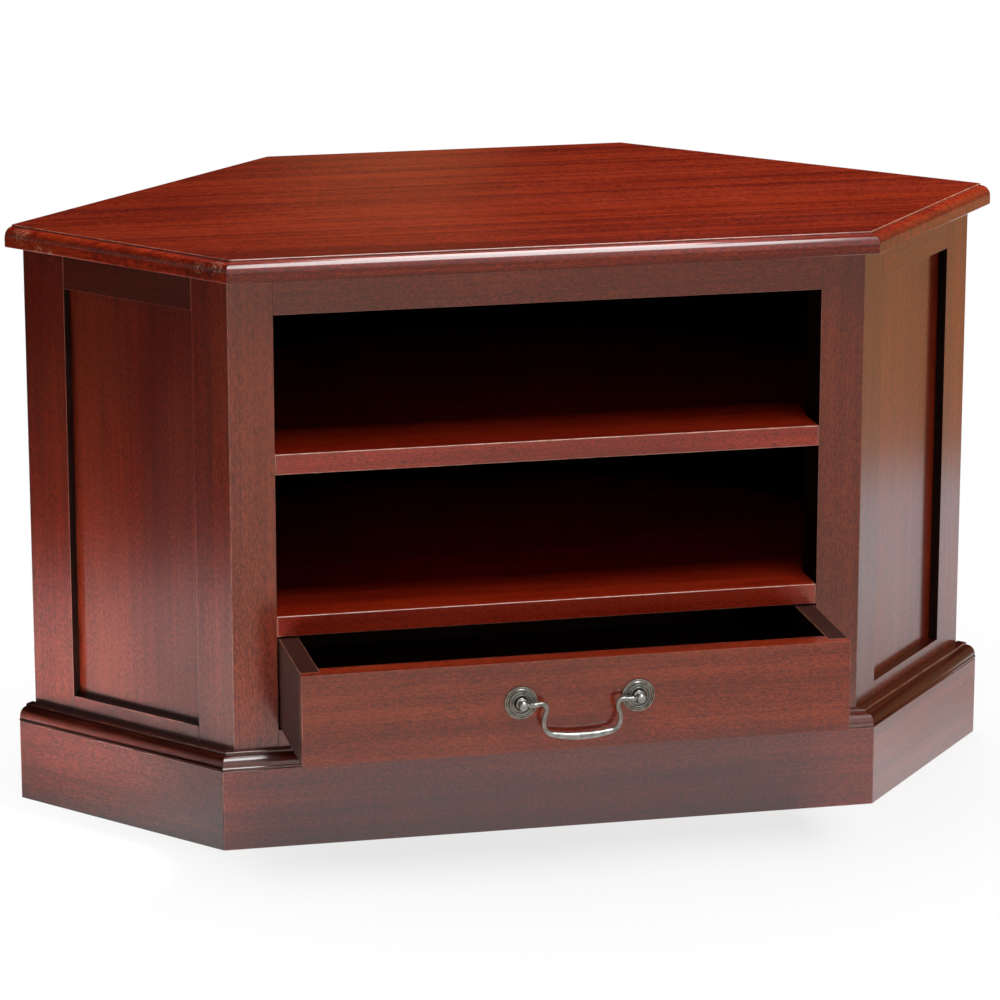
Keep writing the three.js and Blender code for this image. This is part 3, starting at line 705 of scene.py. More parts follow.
@dataclass
class MouldedPiece(WoodPiece):
    """A strip or slab whose shown edges carry a worked profile, drawn up ring by ring."""

    outline: list[Vector] = field(default_factory=list)
    moulded: list[bool] = field(default_factory=list)
    profile: list[tuple[float, float]] = field(default_factory=list)
    foot_ease_mm: float = 0.0
    head_ease_mm: float = 0.0
    # Shares of the light arris colour, partly worn lacquer and partly painted highlight: on the eased foot, and
    # on top-arris faces not turned to the light at the right
    foot_wear_and_highlight: float = 0.15
    left_rub: float = 0.4

    def wear_and_highlight_of(self, face: bpy.types.MeshPolygon, low: float, high: float) -> float:
        """How much light arris colour a face gets, partly worn lacquer and partly painted highlight: at the top
        arris, more on faces turned to the right as painted highlight, and the eased foot.

        Args:
            face: The face.
            low: The piece's lowest height.
            high: The piece's highest height.

        Returns:
            From 0 for none to 1 for all.
        """
        height = face.center.z
        sloped = abs(face.normal.z) < LEVEL_DOT
        if sloped and high - height < self.head_ease_mm * MM:
            return self.rub * (self.left_rub + (1 - self.left_rub) * max(0.0, face.normal.x))
        return self.foot_wear_and_highlight * self.rub if sloped and height - low < self.foot_ease_mm * MM else 0.0

    def ring(self, level: tuple[float, float]) -> list[Vector]:
        """The outline's corners at one level of the profile, an inset and a height."""
        inset, height = level
        return [Vector((point.x, point.y, height))
                for point in inset_outline(self.outline, self.moulded, inset)]

    def drawn(self) -> bpy.types.Object:
        """Extrudes the outline up through every level of the profile.

        Returns:
            The piece, not yet finished.
        """
        bpy.ops.object.select_all(action="DESELECT")
        bpy.ops.mesh.primitive_circle_add(vertices=len(self.outline), fill_type="NGON")
        piece = bpy.context.active_object
        piece.name = f"{self.node}_dressed"
        with editing():
            solid = bmesh.from_edit_mesh(piece.data)
            before = self.ring(self.profile[0])
            order = sorted(solid.verts, key=lambda vertex: math.atan2(vertex.co.y, vertex.co.x))
            centre = sum(before, Vector()) / len(before)
            by_turn = sorted(before, key=lambda point: math.atan2(point.y - centre.y, point.x - centre.x))
            for vertex, point in zip(order, by_turn):
                vertex.co = point
            bmesh.update_edit_mesh(piece.data)
            for level in self.profile[1:]:
                bpy.ops.mesh.extrude_region_move()
                solid = bmesh.from_edit_mesh(piece.data)
                after = self.ring(level)
                for vertex in [vertex for vertex in solid.verts if vertex.select]:
                    nearest = min(range(len(before)), key=lambda place: (before[place] - vertex.co).length)
                    vertex.co = after[nearest]
                bmesh.update_edit_mesh(piece.data)
                before = after
            bpy.ops.mesh.select_all(action="SELECT")
            bpy.ops.mesh.normals_make_consistent(inside=False)
        return piece

    def make(self) -> bpy.types.Object:
        """Draws the profile and finishes the piece."""
        return self.finish(self.drawn())


@dataclass
class TopSlab:
    """The top: one glued board with an ovolo and a fillet worked on its shown edges."""

    plan: Plan
    ease_mm: float = 0.8
    arris_mm: float = 1.0
    arris_steps: int = 3
    bevel_mm: float = 0.3
    ovolo_mm: float = 10.0
    fillet_width_mm: float = 1.5
    fillet_height_mm: float = 2.0
    arc_steps: int = 12
    # Light arris colour on the slab's eased edges: partly worn lacquer, partly painted highlight
    rub: float = 0.9
    # Share of the left edge from the front corner, height over the foot, and reach, in mm
    mark_places: tuple[tuple[float, float, float], ...] = (
        (0.05, 15.0, 11.0), (0.12, 12.0, 8.0), (0.79, 1.0, 6.0), (0.84, 3.0, 7.0), (0.93, 17.0, 14.0),
    )

    def make(self) -> None:
        """Makes the slab."""
        low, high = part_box("top_slab")
        under = outline_of("top_slab")
        moulded = moulded_edges(under, self.plan.shown_faces())
        ease, ovolo, arris = self.ease_mm * MM, self.ovolo_mm * MM, self.arris_mm * MM
        ovolo_top = high.z - self.fillet_height_mm * MM
        ledge = ovolo + self.fillet_width_mm * MM
        profile = [(ease, low.z), (0.0, low.z + ease)]
        profile += arc(ovolo, ovolo_top - ovolo, ovolo, self.arc_steps)
        profile.append((ledge, ovolo_top))
        profile += arc(ledge + arris, high.z - arris, arris, self.arris_steps)
        outline = inset_outline(under, moulded, -ease)
        MouldedPiece(
            "top_slab", Body.CARCASS, RIGHT, UP, self.worn_finish(outline), arris_mm=self.bevel_mm,
            rub=self.rub, foot_ease_mm=self.ease_mm, head_ease_mm=self.arris_mm,
            outline=outline, moulded=moulded, profile=profile,
        ).make()

    def worn_finish(self, outline: Sequence[Vector]) -> Wood:
        """The lacquer with the wear marks along the left edge.

        Args:
            outline: The slab's outline at its widest.

        Returns:
            The finish.
        """
        front = min((corner for corner in outline if corner.x < 0), key=lambda corner: corner.y)
        end = min(outline, key=lambda corner: corner.x)
        return replace(TOP_MAHOGANY, marks=tuple(
            Mark(tuple(front.lerp(end, share) + UP * height * MM), reach)
            for share, height, reach in self.mark_places
        ))


@dataclass
class Plinth:
    """Boards round the foot, each with a mitred moulding laid on its top edge."""

    plan: Plan
    board_arris_mm: float = 0.6
    # Light arris colour on the boards and mouldings: partly worn lacquer, partly painted highlight
    board_wear_and_highlight: float = 0.5
    moulding_arris_mm: float = 0.25
    moulding_rub: float = 0.6
    line_height_mm: float = 2.5
    line_inset_mm: float = 0.8
    ovolo_mm: float = 9.0
    step_width_mm: float = 1.5
    step_height_mm: float = 2.5
    top_round_mm: float = 1.2
    head_ease_mm: float = 0.6
    arc_steps: int = 10
    round_steps: int = 4
    # Painted light and shade for each run: the front board painted lighter, the sides and the mouldings darker,
    # the left darkest
    board_painted_shades: dict[str, float] = field(
        default_factory=lambda: {"front": 0.62, "side_right": 0.45, "side_left": -0.2}
    )
    moulding_tones: dict[str, float] = field(
        default_factory=lambda: {"front": -0.1, "side_right": -0.25, "side_left": -0.36}
    )

    def profile(self, low: float, high: float) -> list[tuple[float, float]]:
        """The moulding's section.

        Args:
            low: Its bottom's height.
            high: Its top's height.

        Returns:
            Pairs of inset and height, from the bottom up.
        """
        line_inset, ovolo, top_round = self.line_inset_mm * MM, self.ovolo_mm * MM, self.top_round_mm * MM
        line_top = low + self.line_height_mm * MM
        step_low = high - self.step_height_mm * MM
        step_inset = line_inset + ovolo + self.step_width_mm * MM
        levels = [(line_inset, low), (0.0, low + line_inset), (0.0, line_top)]
        levels.append((line_inset, line_top + line_inset))
        levels += arc(line_inset + ovolo, step_low - ovolo, ovolo, self.arc_steps)
        levels.append((step_inset, step_low))
        return levels + arc(step_inset + top_round, high - top_round, top_round, self.round_steps)

    def make(self) -> None:
        """Makes the three boards and the three strips of moulding."""
        front, right, left = self.plan.shown_faces()
        runs = {
            "front": (RIGHT, front),
            "side_right": (self.plan.side_right, right),
            "side_left": (self.plan.side_left, left),
        }
        for name, (along, out) in runs.items():
            WoodPiece(f"plinth_{name}", Body.CARCASS, along, out, arris_mm=self.board_arris_mm,
                      rub=self.board_wear_and_highlight, painted_shade=self.board_painted_shades[name]).make()
            node = f"plinth_moulding_{name}"
            low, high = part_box(node)
            outline = outline_of(f"plinth_{name}")
            MouldedPiece(
                node, Body.CARCASS, along, out, arris_mm=self.moulding_arris_mm, rub=self.moulding_rub,
                painted_shade=self.moulding_tones[name], head_ease_mm=self.head_ease_mm, outline=outline,
                moulded=moulded_edges(outline, [out]), profile=self.profile(low.z, high.z),
            ).make()


@dataclass
class Carcass:
    """Posts, rails, panels and shelves."""

    plan: Plan
    post_arris_mm: float = 0.6
    rail_arris_mm: float = 0.7
    ledge_arris_mm: float = 0.9
    shelf_arris_mm: float = 1.0
    batten_arris_mm: float = 0.8
    # Painted light and shade, side by side: the right painted lighter, the left darker, the recess ledges and
    # the faces turned into the cabinet darker
    side_tones: dict[str, float] = field(default_factory=lambda: {"right": 0.35, "left": -0.15})
    ledge_painted_shade: float = -0.36
    inner_painted_shade: float = 0.1
    top_rail_painted_shades: dict[str, float] = field(default_factory=lambda: {"right": 0.35, "left": -0.33})
    post_painted_shades: dict[str, float] = field(default_factory=lambda: {"right": 0.2, "left": 0.3})
    post_side_painted_shades: dict[str, float] = field(default_factory=lambda: {"right": 0.1, "left": -0.08})

    def make(self) -> None:
        """Makes every fixed board but the top and the plinth."""
        self.make_front()
        self.make_framed_faces()
        self.make_shelves()

    def make_front(self) -> None:
        """Makes the six posts and the two rails of the front."""
        frames = {
            "right": (self.plan.side_right, self.plan.wall_right, -RIGHT),
            "left": (self.plan.side_left, self.plan.wall_left, RIGHT),
        }
        for side, (run, wall_run, inwards) in frames.items():
            side_in, wall_in = (
                direction if direction.dot(inwards) > 0 else -direction
                for direction in (run.cross(UP), wall_run.cross(UP))
            )
            # Faces of each post turned into the bays and recesses, which get painted shade
            inside_faces = {
                "front_post": (inwards, BACK, run, side_in),
                "rear_post": (inwards, -run, side_in, wall_in, wall_run, -BACK),
                "back_post": (inwards, -BACK, wall_in, -wall_run),
            }
            for node, inside in inside_faces.items():
                side_tones = self.post_side_painted_shades if node == "front_post" else self.side_tones
                WoodPiece(f"{node}_{side}", Body.CARCASS, UP, -BACK, arris_mm=self.post_arris_mm,
                          painted_shade=self.post_painted_shades[side], side_tone=side_tones[side],
                          side_out=-side_in, inside=inside).make()
        for node in ("front_top_rail", "front_bottom_rail"):
            WoodPiece(node, Body.CARCASS, RIGHT, -BACK, arris_mm=self.rail_arris_mm,
                      inside=(UP, -UP, BACK)).make()

    def make_framed_faces(self) -> None:
        """Makes the rails and panels of the sides, the walls and the back."""
        for side, along, out in self.plan.side_frames():
            # Each rail's painted light and shade, and its faces turned into the recess or the cabinet, which
            # get painted shade
            rails = {
                "side_top_rail": (self.top_rail_painted_shades, (UP, -UP, -out)),
                "side_bottom_rail": (self.side_tones, (-UP, -out)),
            }
            for node, (painted_shades, inside) in rails.items():
                WoodPiece(f"{node}_{side}", Body.CARCASS, along, out, arris_mm=self.ledge_arris_mm,
                          painted_shade=painted_shades[side], side_tone=self.ledge_painted_shade, side_out=UP, rub=1.0,
                          inside=inside).make()
            WoodPiece(f"side_panel_{side}", Body.CARCASS, UP, out, arris_mm=self.rail_arris_mm,
                      painted_shade=self.side_tones[side], inside=(-out,)).make()
        walls = {
            "wall_{}_right": self.plan.wall_right, "wall_{}_left": self.plan.wall_left, "back_{}": RIGHT,
        }
        for name, along in walls.items():
            out = along.cross(UP)
            if out.dot(BACK) < 0:
                out = -out
            for part, run, wood, slot in (
                ("top_rail", along, STAINED_MAHOGANY, Slot.STAINED),
                ("bottom_rail", along, STAINED_MAHOGANY, Slot.STAINED),
                ("panel", UP, STAINED_PLYWOOD, Slot.PLYWOOD),
            ):
                WoodPiece(name.format(part), Body.CARCASS, run, out, wood, slot,
                          arris_mm=self.rail_arris_mm, side_tone=self.inner_painted_shade, side_out=-out,
                          inside=(-out,)).make()

    def make_shelves(self) -> None:
        """Makes both shelves, their battens and the cleats of the top."""
        battens = {
            "middle_shelf_side_batten": self.plan.side_right,
            "middle_shelf_wall_batten": self.plan.wall_right,
            "lower_shelf_side_batten": self.plan.side_right,
            "lower_shelf_wall_batten": self.plan.wall_right,
            "top_cleat": self.plan.side_right,
        }
        for node in ("middle_shelf", "lower_shelf"):
            WoodPiece(node, Body.CARCASS, RIGHT, UP, SHELF_MAHOGANY, arris_mm=self.shelf_arris_mm,
                      arris_segments=3, rub=1.0).make()
        for node, along in battens.items():
            for side, run in (("right", along), ("left", mirrored(along))):
                WoodPiece(f"{node}_{side}", Body.CARCASS, run, UP, PLANED_SOFTWOOD, Slot.SOFTWOOD,
                          arris_mm=self.batten_arris_mm).make()


@dataclass
class DrawerCarriage:
    """What the drawer slides on: two runners, two guides and the rail behind them."""

    arris_mm: float = 0.8

    def make(self) -> None:
        """Makes the five pieces."""
        sliding = [f"{node}_{side}" for side in ("right", "left") for node in ("drawer_runner", "drawer_guide")]
        for node, along in [(node, BACK) for node in sliding] + [("runner_cross_rail", RIGHT)]:
            WoodPiece(node, Body.CARCASS, along, UP, PLANED_SOFTWOOD, Slot.SOFTWOOD,
                      arris_mm=self.arris_mm).make()


@dataclass
class Drawer:
    """The drawer's box."""

    front_arris_mm: float = 1.0
    side_arris_mm: float = 0.8
    bottom_arris_mm: float = 0.3
    # Painted light on the front and painted shade on the sides; the sides' light arris colour is partly worn
    # lacquer, partly painted highlight
    front_painted_shade: float = 0.58
    side_tone: float = 0.25
    side_rub: float = 0.7

    def make(self) -> None:
        """Makes the front, sides, back and bottom."""
        WoodPiece("drawer_front", Body.DRAWER, RIGHT, -BACK, arris_mm=self.front_arris_mm,
                  arris_segments=3, painted_shade=self.front_painted_shade, rub=1.0, inside=(BACK,)).make()
        for side, out in (("right", RIGHT), ("left", -RIGHT)):
            WoodPiece(f"drawer_side_{side}", Body.DRAWER, BACK, out, DULL_SHADE_PAINTED_MAHOGANY,
                      arris_mm=self.side_arris_mm, painted_shade=self.side_tone, rub=self.side_rub,
                      inside=(-out,)).make()
        WoodPiece("drawer_back", Body.DRAWER, RIGHT, BACK, STAINED_MAHOGANY, Slot.STAINED,
                  arris_mm=self.side_arris_mm).make()
        WoodPiece("drawer_bottom", Body.DRAWER, RIGHT, UP, STAINED_PLYWOOD, Slot.PLYWOOD,
                  arris_mm=self.bottom_arris_mm).make()


@dataclass
class DropHandle:
    """The handle: two rosettes, two knuckled posts with nuts, and the swinging bail."""

    centres_mm: float = 118.0
    reach_mm: float = 12.0
    rosette_mm: float = 16.5
    shank_mm: float = 2.0
    shank_hole_mm: float = 2.4
    front_thickness_mm: float = 22.0
    shank_proud_mm: float = 6.0
    seat_mm: float = 0.3
    ease_mm: float = 0.3
    boss_height_mm: float = 5.5
    collar_mm: float = 1.6
    collar_radius_mm: float = 4.4
    neck_radius_mm: float = 3.1
    knuckle_mm: float = 5.2
    pin_mm: float = 1.8
    pin_gap_mm: float = 0.45
    bead_mm: float = 2.9
    arm_mm: float = 2.35
    grip_mm: float = 3.75
    drop_mm: float = 34.0
    shoulder_mm: float = 36.0
    bulge_mm: float = 2.4
    lathe_steps: int = 64
    ball_steps: int = 18
    bore_steps: int = 32
    bend_steps: int = 10
    rod_steps: int = 8
    smooth_degrees: float = 40.0
    patina_gain: float = 1.15
    # The rosette's rings: shares of its radius, and of the boss's height over the seat
    ring_shares: tuple[tuple[float, float], ...] = (
        (1.0, 0.0), (1.0, 0.2), (0.99, 0.27), (0.96, 0.3), (0.93, 0.28), (0.915, 0.2), (0.89, 0.15),
        (0.87, 0.17), (0.855, 0.3), (0.83, 0.38), (0.8, 0.38), (0.775, 0.3), (0.76, 0.2),
        (0.74, 0.19), (0.725, 0.3), (0.7, 0.43), (0.67, 0.46), (0.64, 0.42), (0.62, 0.3),
        (0.59, 0.24), (0.565, 0.26), (0.55, 0.4), (0.52, 0.54), (0.49, 0.56), (0.465, 0.48),
        (0.45, 0.36), (0.42, 0.32), (0.39, 0.42), (0.365, 0.7), (0.34, 0.9), (0.3, 1.0),
    )

    def __post_init__(self) -> None:
        """Finds the bail's pivot and the drawer's face in the frame."""
        joints = {joint["name"]: joint for joint in frame["joints"]}
        self.pivot = Vector(joints["bail_swing"]["pos_m"])
        self.face_y = self.pivot.y + self.reach_mm * MM

    def post_place(self, sign: int) -> Vector:
        """The foot of the right post, by the sign 1, or of the left one, by -1."""
        return Vector((self.pivot.x + sign * self.centres_mm / 2 * MM, self.face_y, self.pivot.z))

    def turned(self, name: str, profile: Sequence[tuple[float, float]], foot: Vector) -> bpy.types.Object:
        """Turns a profile round the post's own line.

        Args:
            name: The piece's name.
            profile: Pairs of radius and distance in front of the face, in millimetres.
            foot: The middle of the post's foot.

        Returns:
            The turned piece.
        """
        points = [foot + Vector((radius * MM, -ahead * MM, 0.0)) for radius, ahead in profile]
        bpy.ops.object.select_all(action="DESELECT")
        bpy.ops.mesh.primitive_plane_add(size=MM, location=(0.0, 0.0, 0.0))
        piece = bpy.context.active_object
        piece.name = name
        with editing():
            bpy.ops.mesh.merge(type="CENTER")
            solid = bmesh.from_edit_mesh(piece.data)
            for vertex in solid.verts:
                vertex.co = points[0]
                vertex.select = True
            bmesh.update_edit_mesh(piece.data)
            for start, end in zip(points, points[1:]):
                bpy.ops.mesh.extrude_region_move(TRANSFORM_OT_translate={"value": tuple(end - start)})
            bpy.ops.mesh.select_all(action="SELECT")
            bpy.ops.mesh.spin(steps=self.lathe_steps, angle=2 * math.pi, center=tuple(foot),
                              axis=(0.0, 1.0, 0.0))
            bpy.ops.mesh.select_all(action="SELECT")
            bpy.ops.mesh.remove_doubles(threshold=0.5 * MERGE_MM * MM)
            bpy.ops.mesh.normals_make_consistent(inside=False)
        return piece

    def finish(self, piece: bpy.types.Object, node: str, body: Body, metal: Metal, slot: Slot) -> None:
        """Smooths a metal piece, plates it and hands it to its body.

        Args:
            piece: The piece.
            node: The node that it replaces.
            body: The body that it rides on.
            metal: Its metal.
            slot: Its material slot; not used.
        """
        only(piece)
        bpy.ops.object.shade_smooth_by_angle(angle=math.radians(self.smooth_degrees))
        if metal is ANTIQUE_PEWTER:
            slopes = [min(1.0, self.patina_gain * (1 - abs(vertex.normal.y))) for vertex in piece.data.vertices]
            piece.data.attributes.new("hollow", "FLOAT", "POINT").data.foreach_set("value", slopes)
        piece.data.materials.clear()
        piece.data.materials.append(metal.material())
        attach(piece, body.value)
        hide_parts(node)
        LOG.info("%s: %d faces", piece.name, len(piece.data.polygons))

    def rosette_profile(self) -> list[tuple[float, float]]:
        """The rosette's section: a rim, rings between hollows, and a boss.

        Returns:
            Pairs of radius and distance in front of the face, in millimetres.
        """
        hole, boss, seat = self.shank_hole_mm, self.boss_height_mm, self.seat_mm
        rings = [(self.rosette_mm * out, seat + (boss - seat) * ahead) for out, ahead in self.ring_shares]
        return [(hole, seat)] + rings + [(hole, boss), (hole, seat)]

    def post_profile(self) -> list[tuple[float, float]]:
        """The post's section, from the ball at its end to the threaded shank.

        Returns:
            Pairs of radius and distance in front of the face, in millimetres.
        """
        collar_back = self.boss_height_mm + self.seat_mm
        collar_front = collar_back + self.collar_mm
        meets = math.asin(self.neck_radius_mm / self.knuckle_mm)
        turns = [(math.pi - meets) * step / self.ball_steps for step in range(self.ball_steps + 1)]
        back = -(self.front_thickness_mm + self.shank_proud_mm)
        neck, collar, shank, ease = self.neck_radius_mm, self.collar_radius_mm, self.shank_mm, self.ease_mm
        return [
            (self.knuckle_mm * math.sin(turn), self.reach_mm + self.knuckle_mm * math.cos(turn))
            for turn in turns
        ] + [
            (neck, collar_front + ease), (neck + ease, collar_front),
            (collar - ease, collar_front), (collar, collar_front - ease),
            (collar, collar_back + ease), (collar - ease, collar_back),
            (shank, collar_back), (shank, back + ease), (shank - ease, back), (0.0, back),
        ]

    def bore(self, post: bpy.types.Object, sign: int) -> None:
        """Bores the knuckle for the bail's pin, from the side that faces the bail.

        Args:
            post: The post.
            sign: 1 for the right post and -1 for the left one.
        """
        radius = (self.pin_mm + self.pin_gap_mm) * MM
        length = 2 * self.knuckle_mm * MM
        middle = Vector((self.post_place(sign).x, self.pivot.y, self.pivot.z))
        bpy.ops.object.select_all(action="DESELECT")
        bpy.ops.mesh.primitive_cylinder_add(
            vertices=self.bore_steps, radius=radius, depth=length, rotation=(0.0, math.pi / 2, 0.0),
            location=middle + RIGHT * sign * (radius - length / 2),
        )
        drill = bpy.context.active_object
        cut = post.modifiers.new("bore", "BOOLEAN")
        cut.operation = "DIFFERENCE"
        cut.object = drill
        cut.solver = "EXACT"
        only(post)
        bpy.ops.object.modifier_apply(modifier=cut.name)
        bpy.data.objects.remove(drill)

    def bail_path(self) -> list[tuple[float, float, float]]:
        """The right half of the bail's centre line.

        Returns:
            Distance from the middle, height from the pivot and radius, in millimetres.
        """
        pin_start = self.centres_mm / 2 - self.knuckle_mm
        bead = pin_start - self.bead_mm
        shoulder, drop, arm, bulge = self.shoulder_mm, self.drop_mm, self.arm_mm, self.bulge_mm
        return [
            (self.centres_mm / 2 - self.pin_gap_mm, 0.0, self.pin_mm),
            (pin_start, 0.0, self.pin_mm),
            (bead, 0.0, self.bead_mm),
            (bead - self.bead_mm, 0.0, arm),
            (shoulder + arm, 0.0, arm),
            (shoulder, -0.08 * drop, arm),
            (shoulder, -0.22 * drop, arm),
            (shoulder + bulge, -0.47 * drop, arm),
            (shoulder + bulge / 2, -0.72 * drop, arm),
            (shoulder - bulge, -0.86 * drop, arm),
            (0.67 * shoulder, -0.94 * drop, (arm + self.grip_mm) / 2),
        ]

    def make_bail(self) -> None:
        """Bends the bail: a round rod along a smooth curve, thickest at its middle."""
        right = self.bail_path()
        left = [(-across, height, radius) for across, height, radius in right]
        stations = left + [(0.0, -self.drop_mm, self.grip_mm)] + right[::-1]
        bpy.ops.object.select_all(action="DESELECT")
        bpy.ops.curve.primitive_bezier_curve_add()
        rod = bpy.context.active_object
        rod.name = "handle_bail_dressed"
        curve = rod.data
        curve.splines.clear()
        spline = curve.splines.new("BEZIER")
        spline.bezier_points.add(len(stations) - 1)
        for point, (across, height, radius) in zip(spline.bezier_points, stations):
            point.co = self.pivot + Vector((across * MM, 0.0, height * MM))
            point.handle_left_type = "AUTO"
            point.handle_right_type = "AUTO"
            point.radius = radius
        curve.dimensions = "3D"
        curve.resolution_u = self.bend_steps
        curve.bevel_depth = MM
        curve.bevel_resolution = self.rod_steps
        curve.use_fill_caps = True
        only(rod)
        bpy.ops.object.convert(target="MESH")
        with editing():
            bpy.ops.mesh.remove_doubles(threshold=0.1 * MERGE_MM * MM)
            bpy.ops.mesh.normals_make_consistent(inside=False)
        self.finish(rod, "handle_bail", Body.BAIL, RUBBED_PEWTER, Slot.PEWTER)

    def make(self) -> None:
        """Makes the whole handle."""
        for side, sign in (("left", -1), ("right", 1)):
            foot = self.post_place(sign)
            rosette = self.turned(f"handle_rosette_{side}_dressed", self.rosette_profile(), foot)
            self.finish(rosette, f"handle_rosette_{side}", Body.DRAWER, ANTIQUE_PEWTER, Slot.PEWTER)
            post = self.turned(f"handle_post_{side}_dressed", self.post_profile(), foot)
            self.bore(post, sign)
            self.finish(post, f"handle_post_{side}", Body.DRAWER, RUBBED_PEWTER, Slot.PEWTER)
            node = f"handle_nut_{side}"
            nut = WoodPiece(node, Body.DRAWER, RIGHT, BACK).copied()
            ease_edges(nut, self.ease_mm, 2, self.smooth_degrees)
            self.finish(nut, node, Body.DRAWER, ZINC_PLATE, Slot.STEEL)
        self.make_bail()


@dataclass(frozen=True)
class Lamp:
    """A rectangular lamp: lengths in metres, power in watts, spread in degrees."""

    name: str
    place: tuple[float, float, float]
    aim: tuple[float, float, float]
    size: tuple[float, float]
    power: float
    spread: float = 180.0
    turn: float | None = None

    def hang(self) -> None:
        """Hangs the lamp, aimed at its target or, where a turn is given, straight down and turned."""
        bpy.ops.object.light_add(type="AREA", location=self.place)
        lamp = bpy.context.active_object
        lamp.name = self.name
        lamp.data.shape = "RECTANGLE"
        lamp.data.size, lamp.data.size_y = self.size
        lamp.data.energy = self.power
        lamp.data.spread = math.radians(self.spread)
        lamp.rotation_mode = "QUATERNION"
        if self.turn is None:
            lamp.rotation_quaternion = (Vector(self.aim) - Vector(self.place)).to_track_quat("-Z", "Y")
        else:
            lamp.rotation_quaternion = Quaternion(UP, self.turn)


# Where the studio's shades begin and end: over the floor in metres, in the world by direction
SHADOW_FADE = {"From Min": 0.4, "From Max": 0.76, "To Min": 0.78}
FLOOR_ACROSS = {"From Min": -2.2, "From Max": 2.2}
FLOOR_BEFORE = {"From Min": -0.4, "From Max": -0.75}
WORLD_AHEAD = {"From Min": 0.3, "From Max": -0.5}
WORLD_BESIDE = {"From Min": 0.4, "From Max": 0.8, "To Max": 0.4}
WORLD_LOW = {"From Min": 0.19, "From Max": 0.165, "To Max": 0.5}
WORLD_WARM = {"From Min": -0.2, "From Max": 0.4}


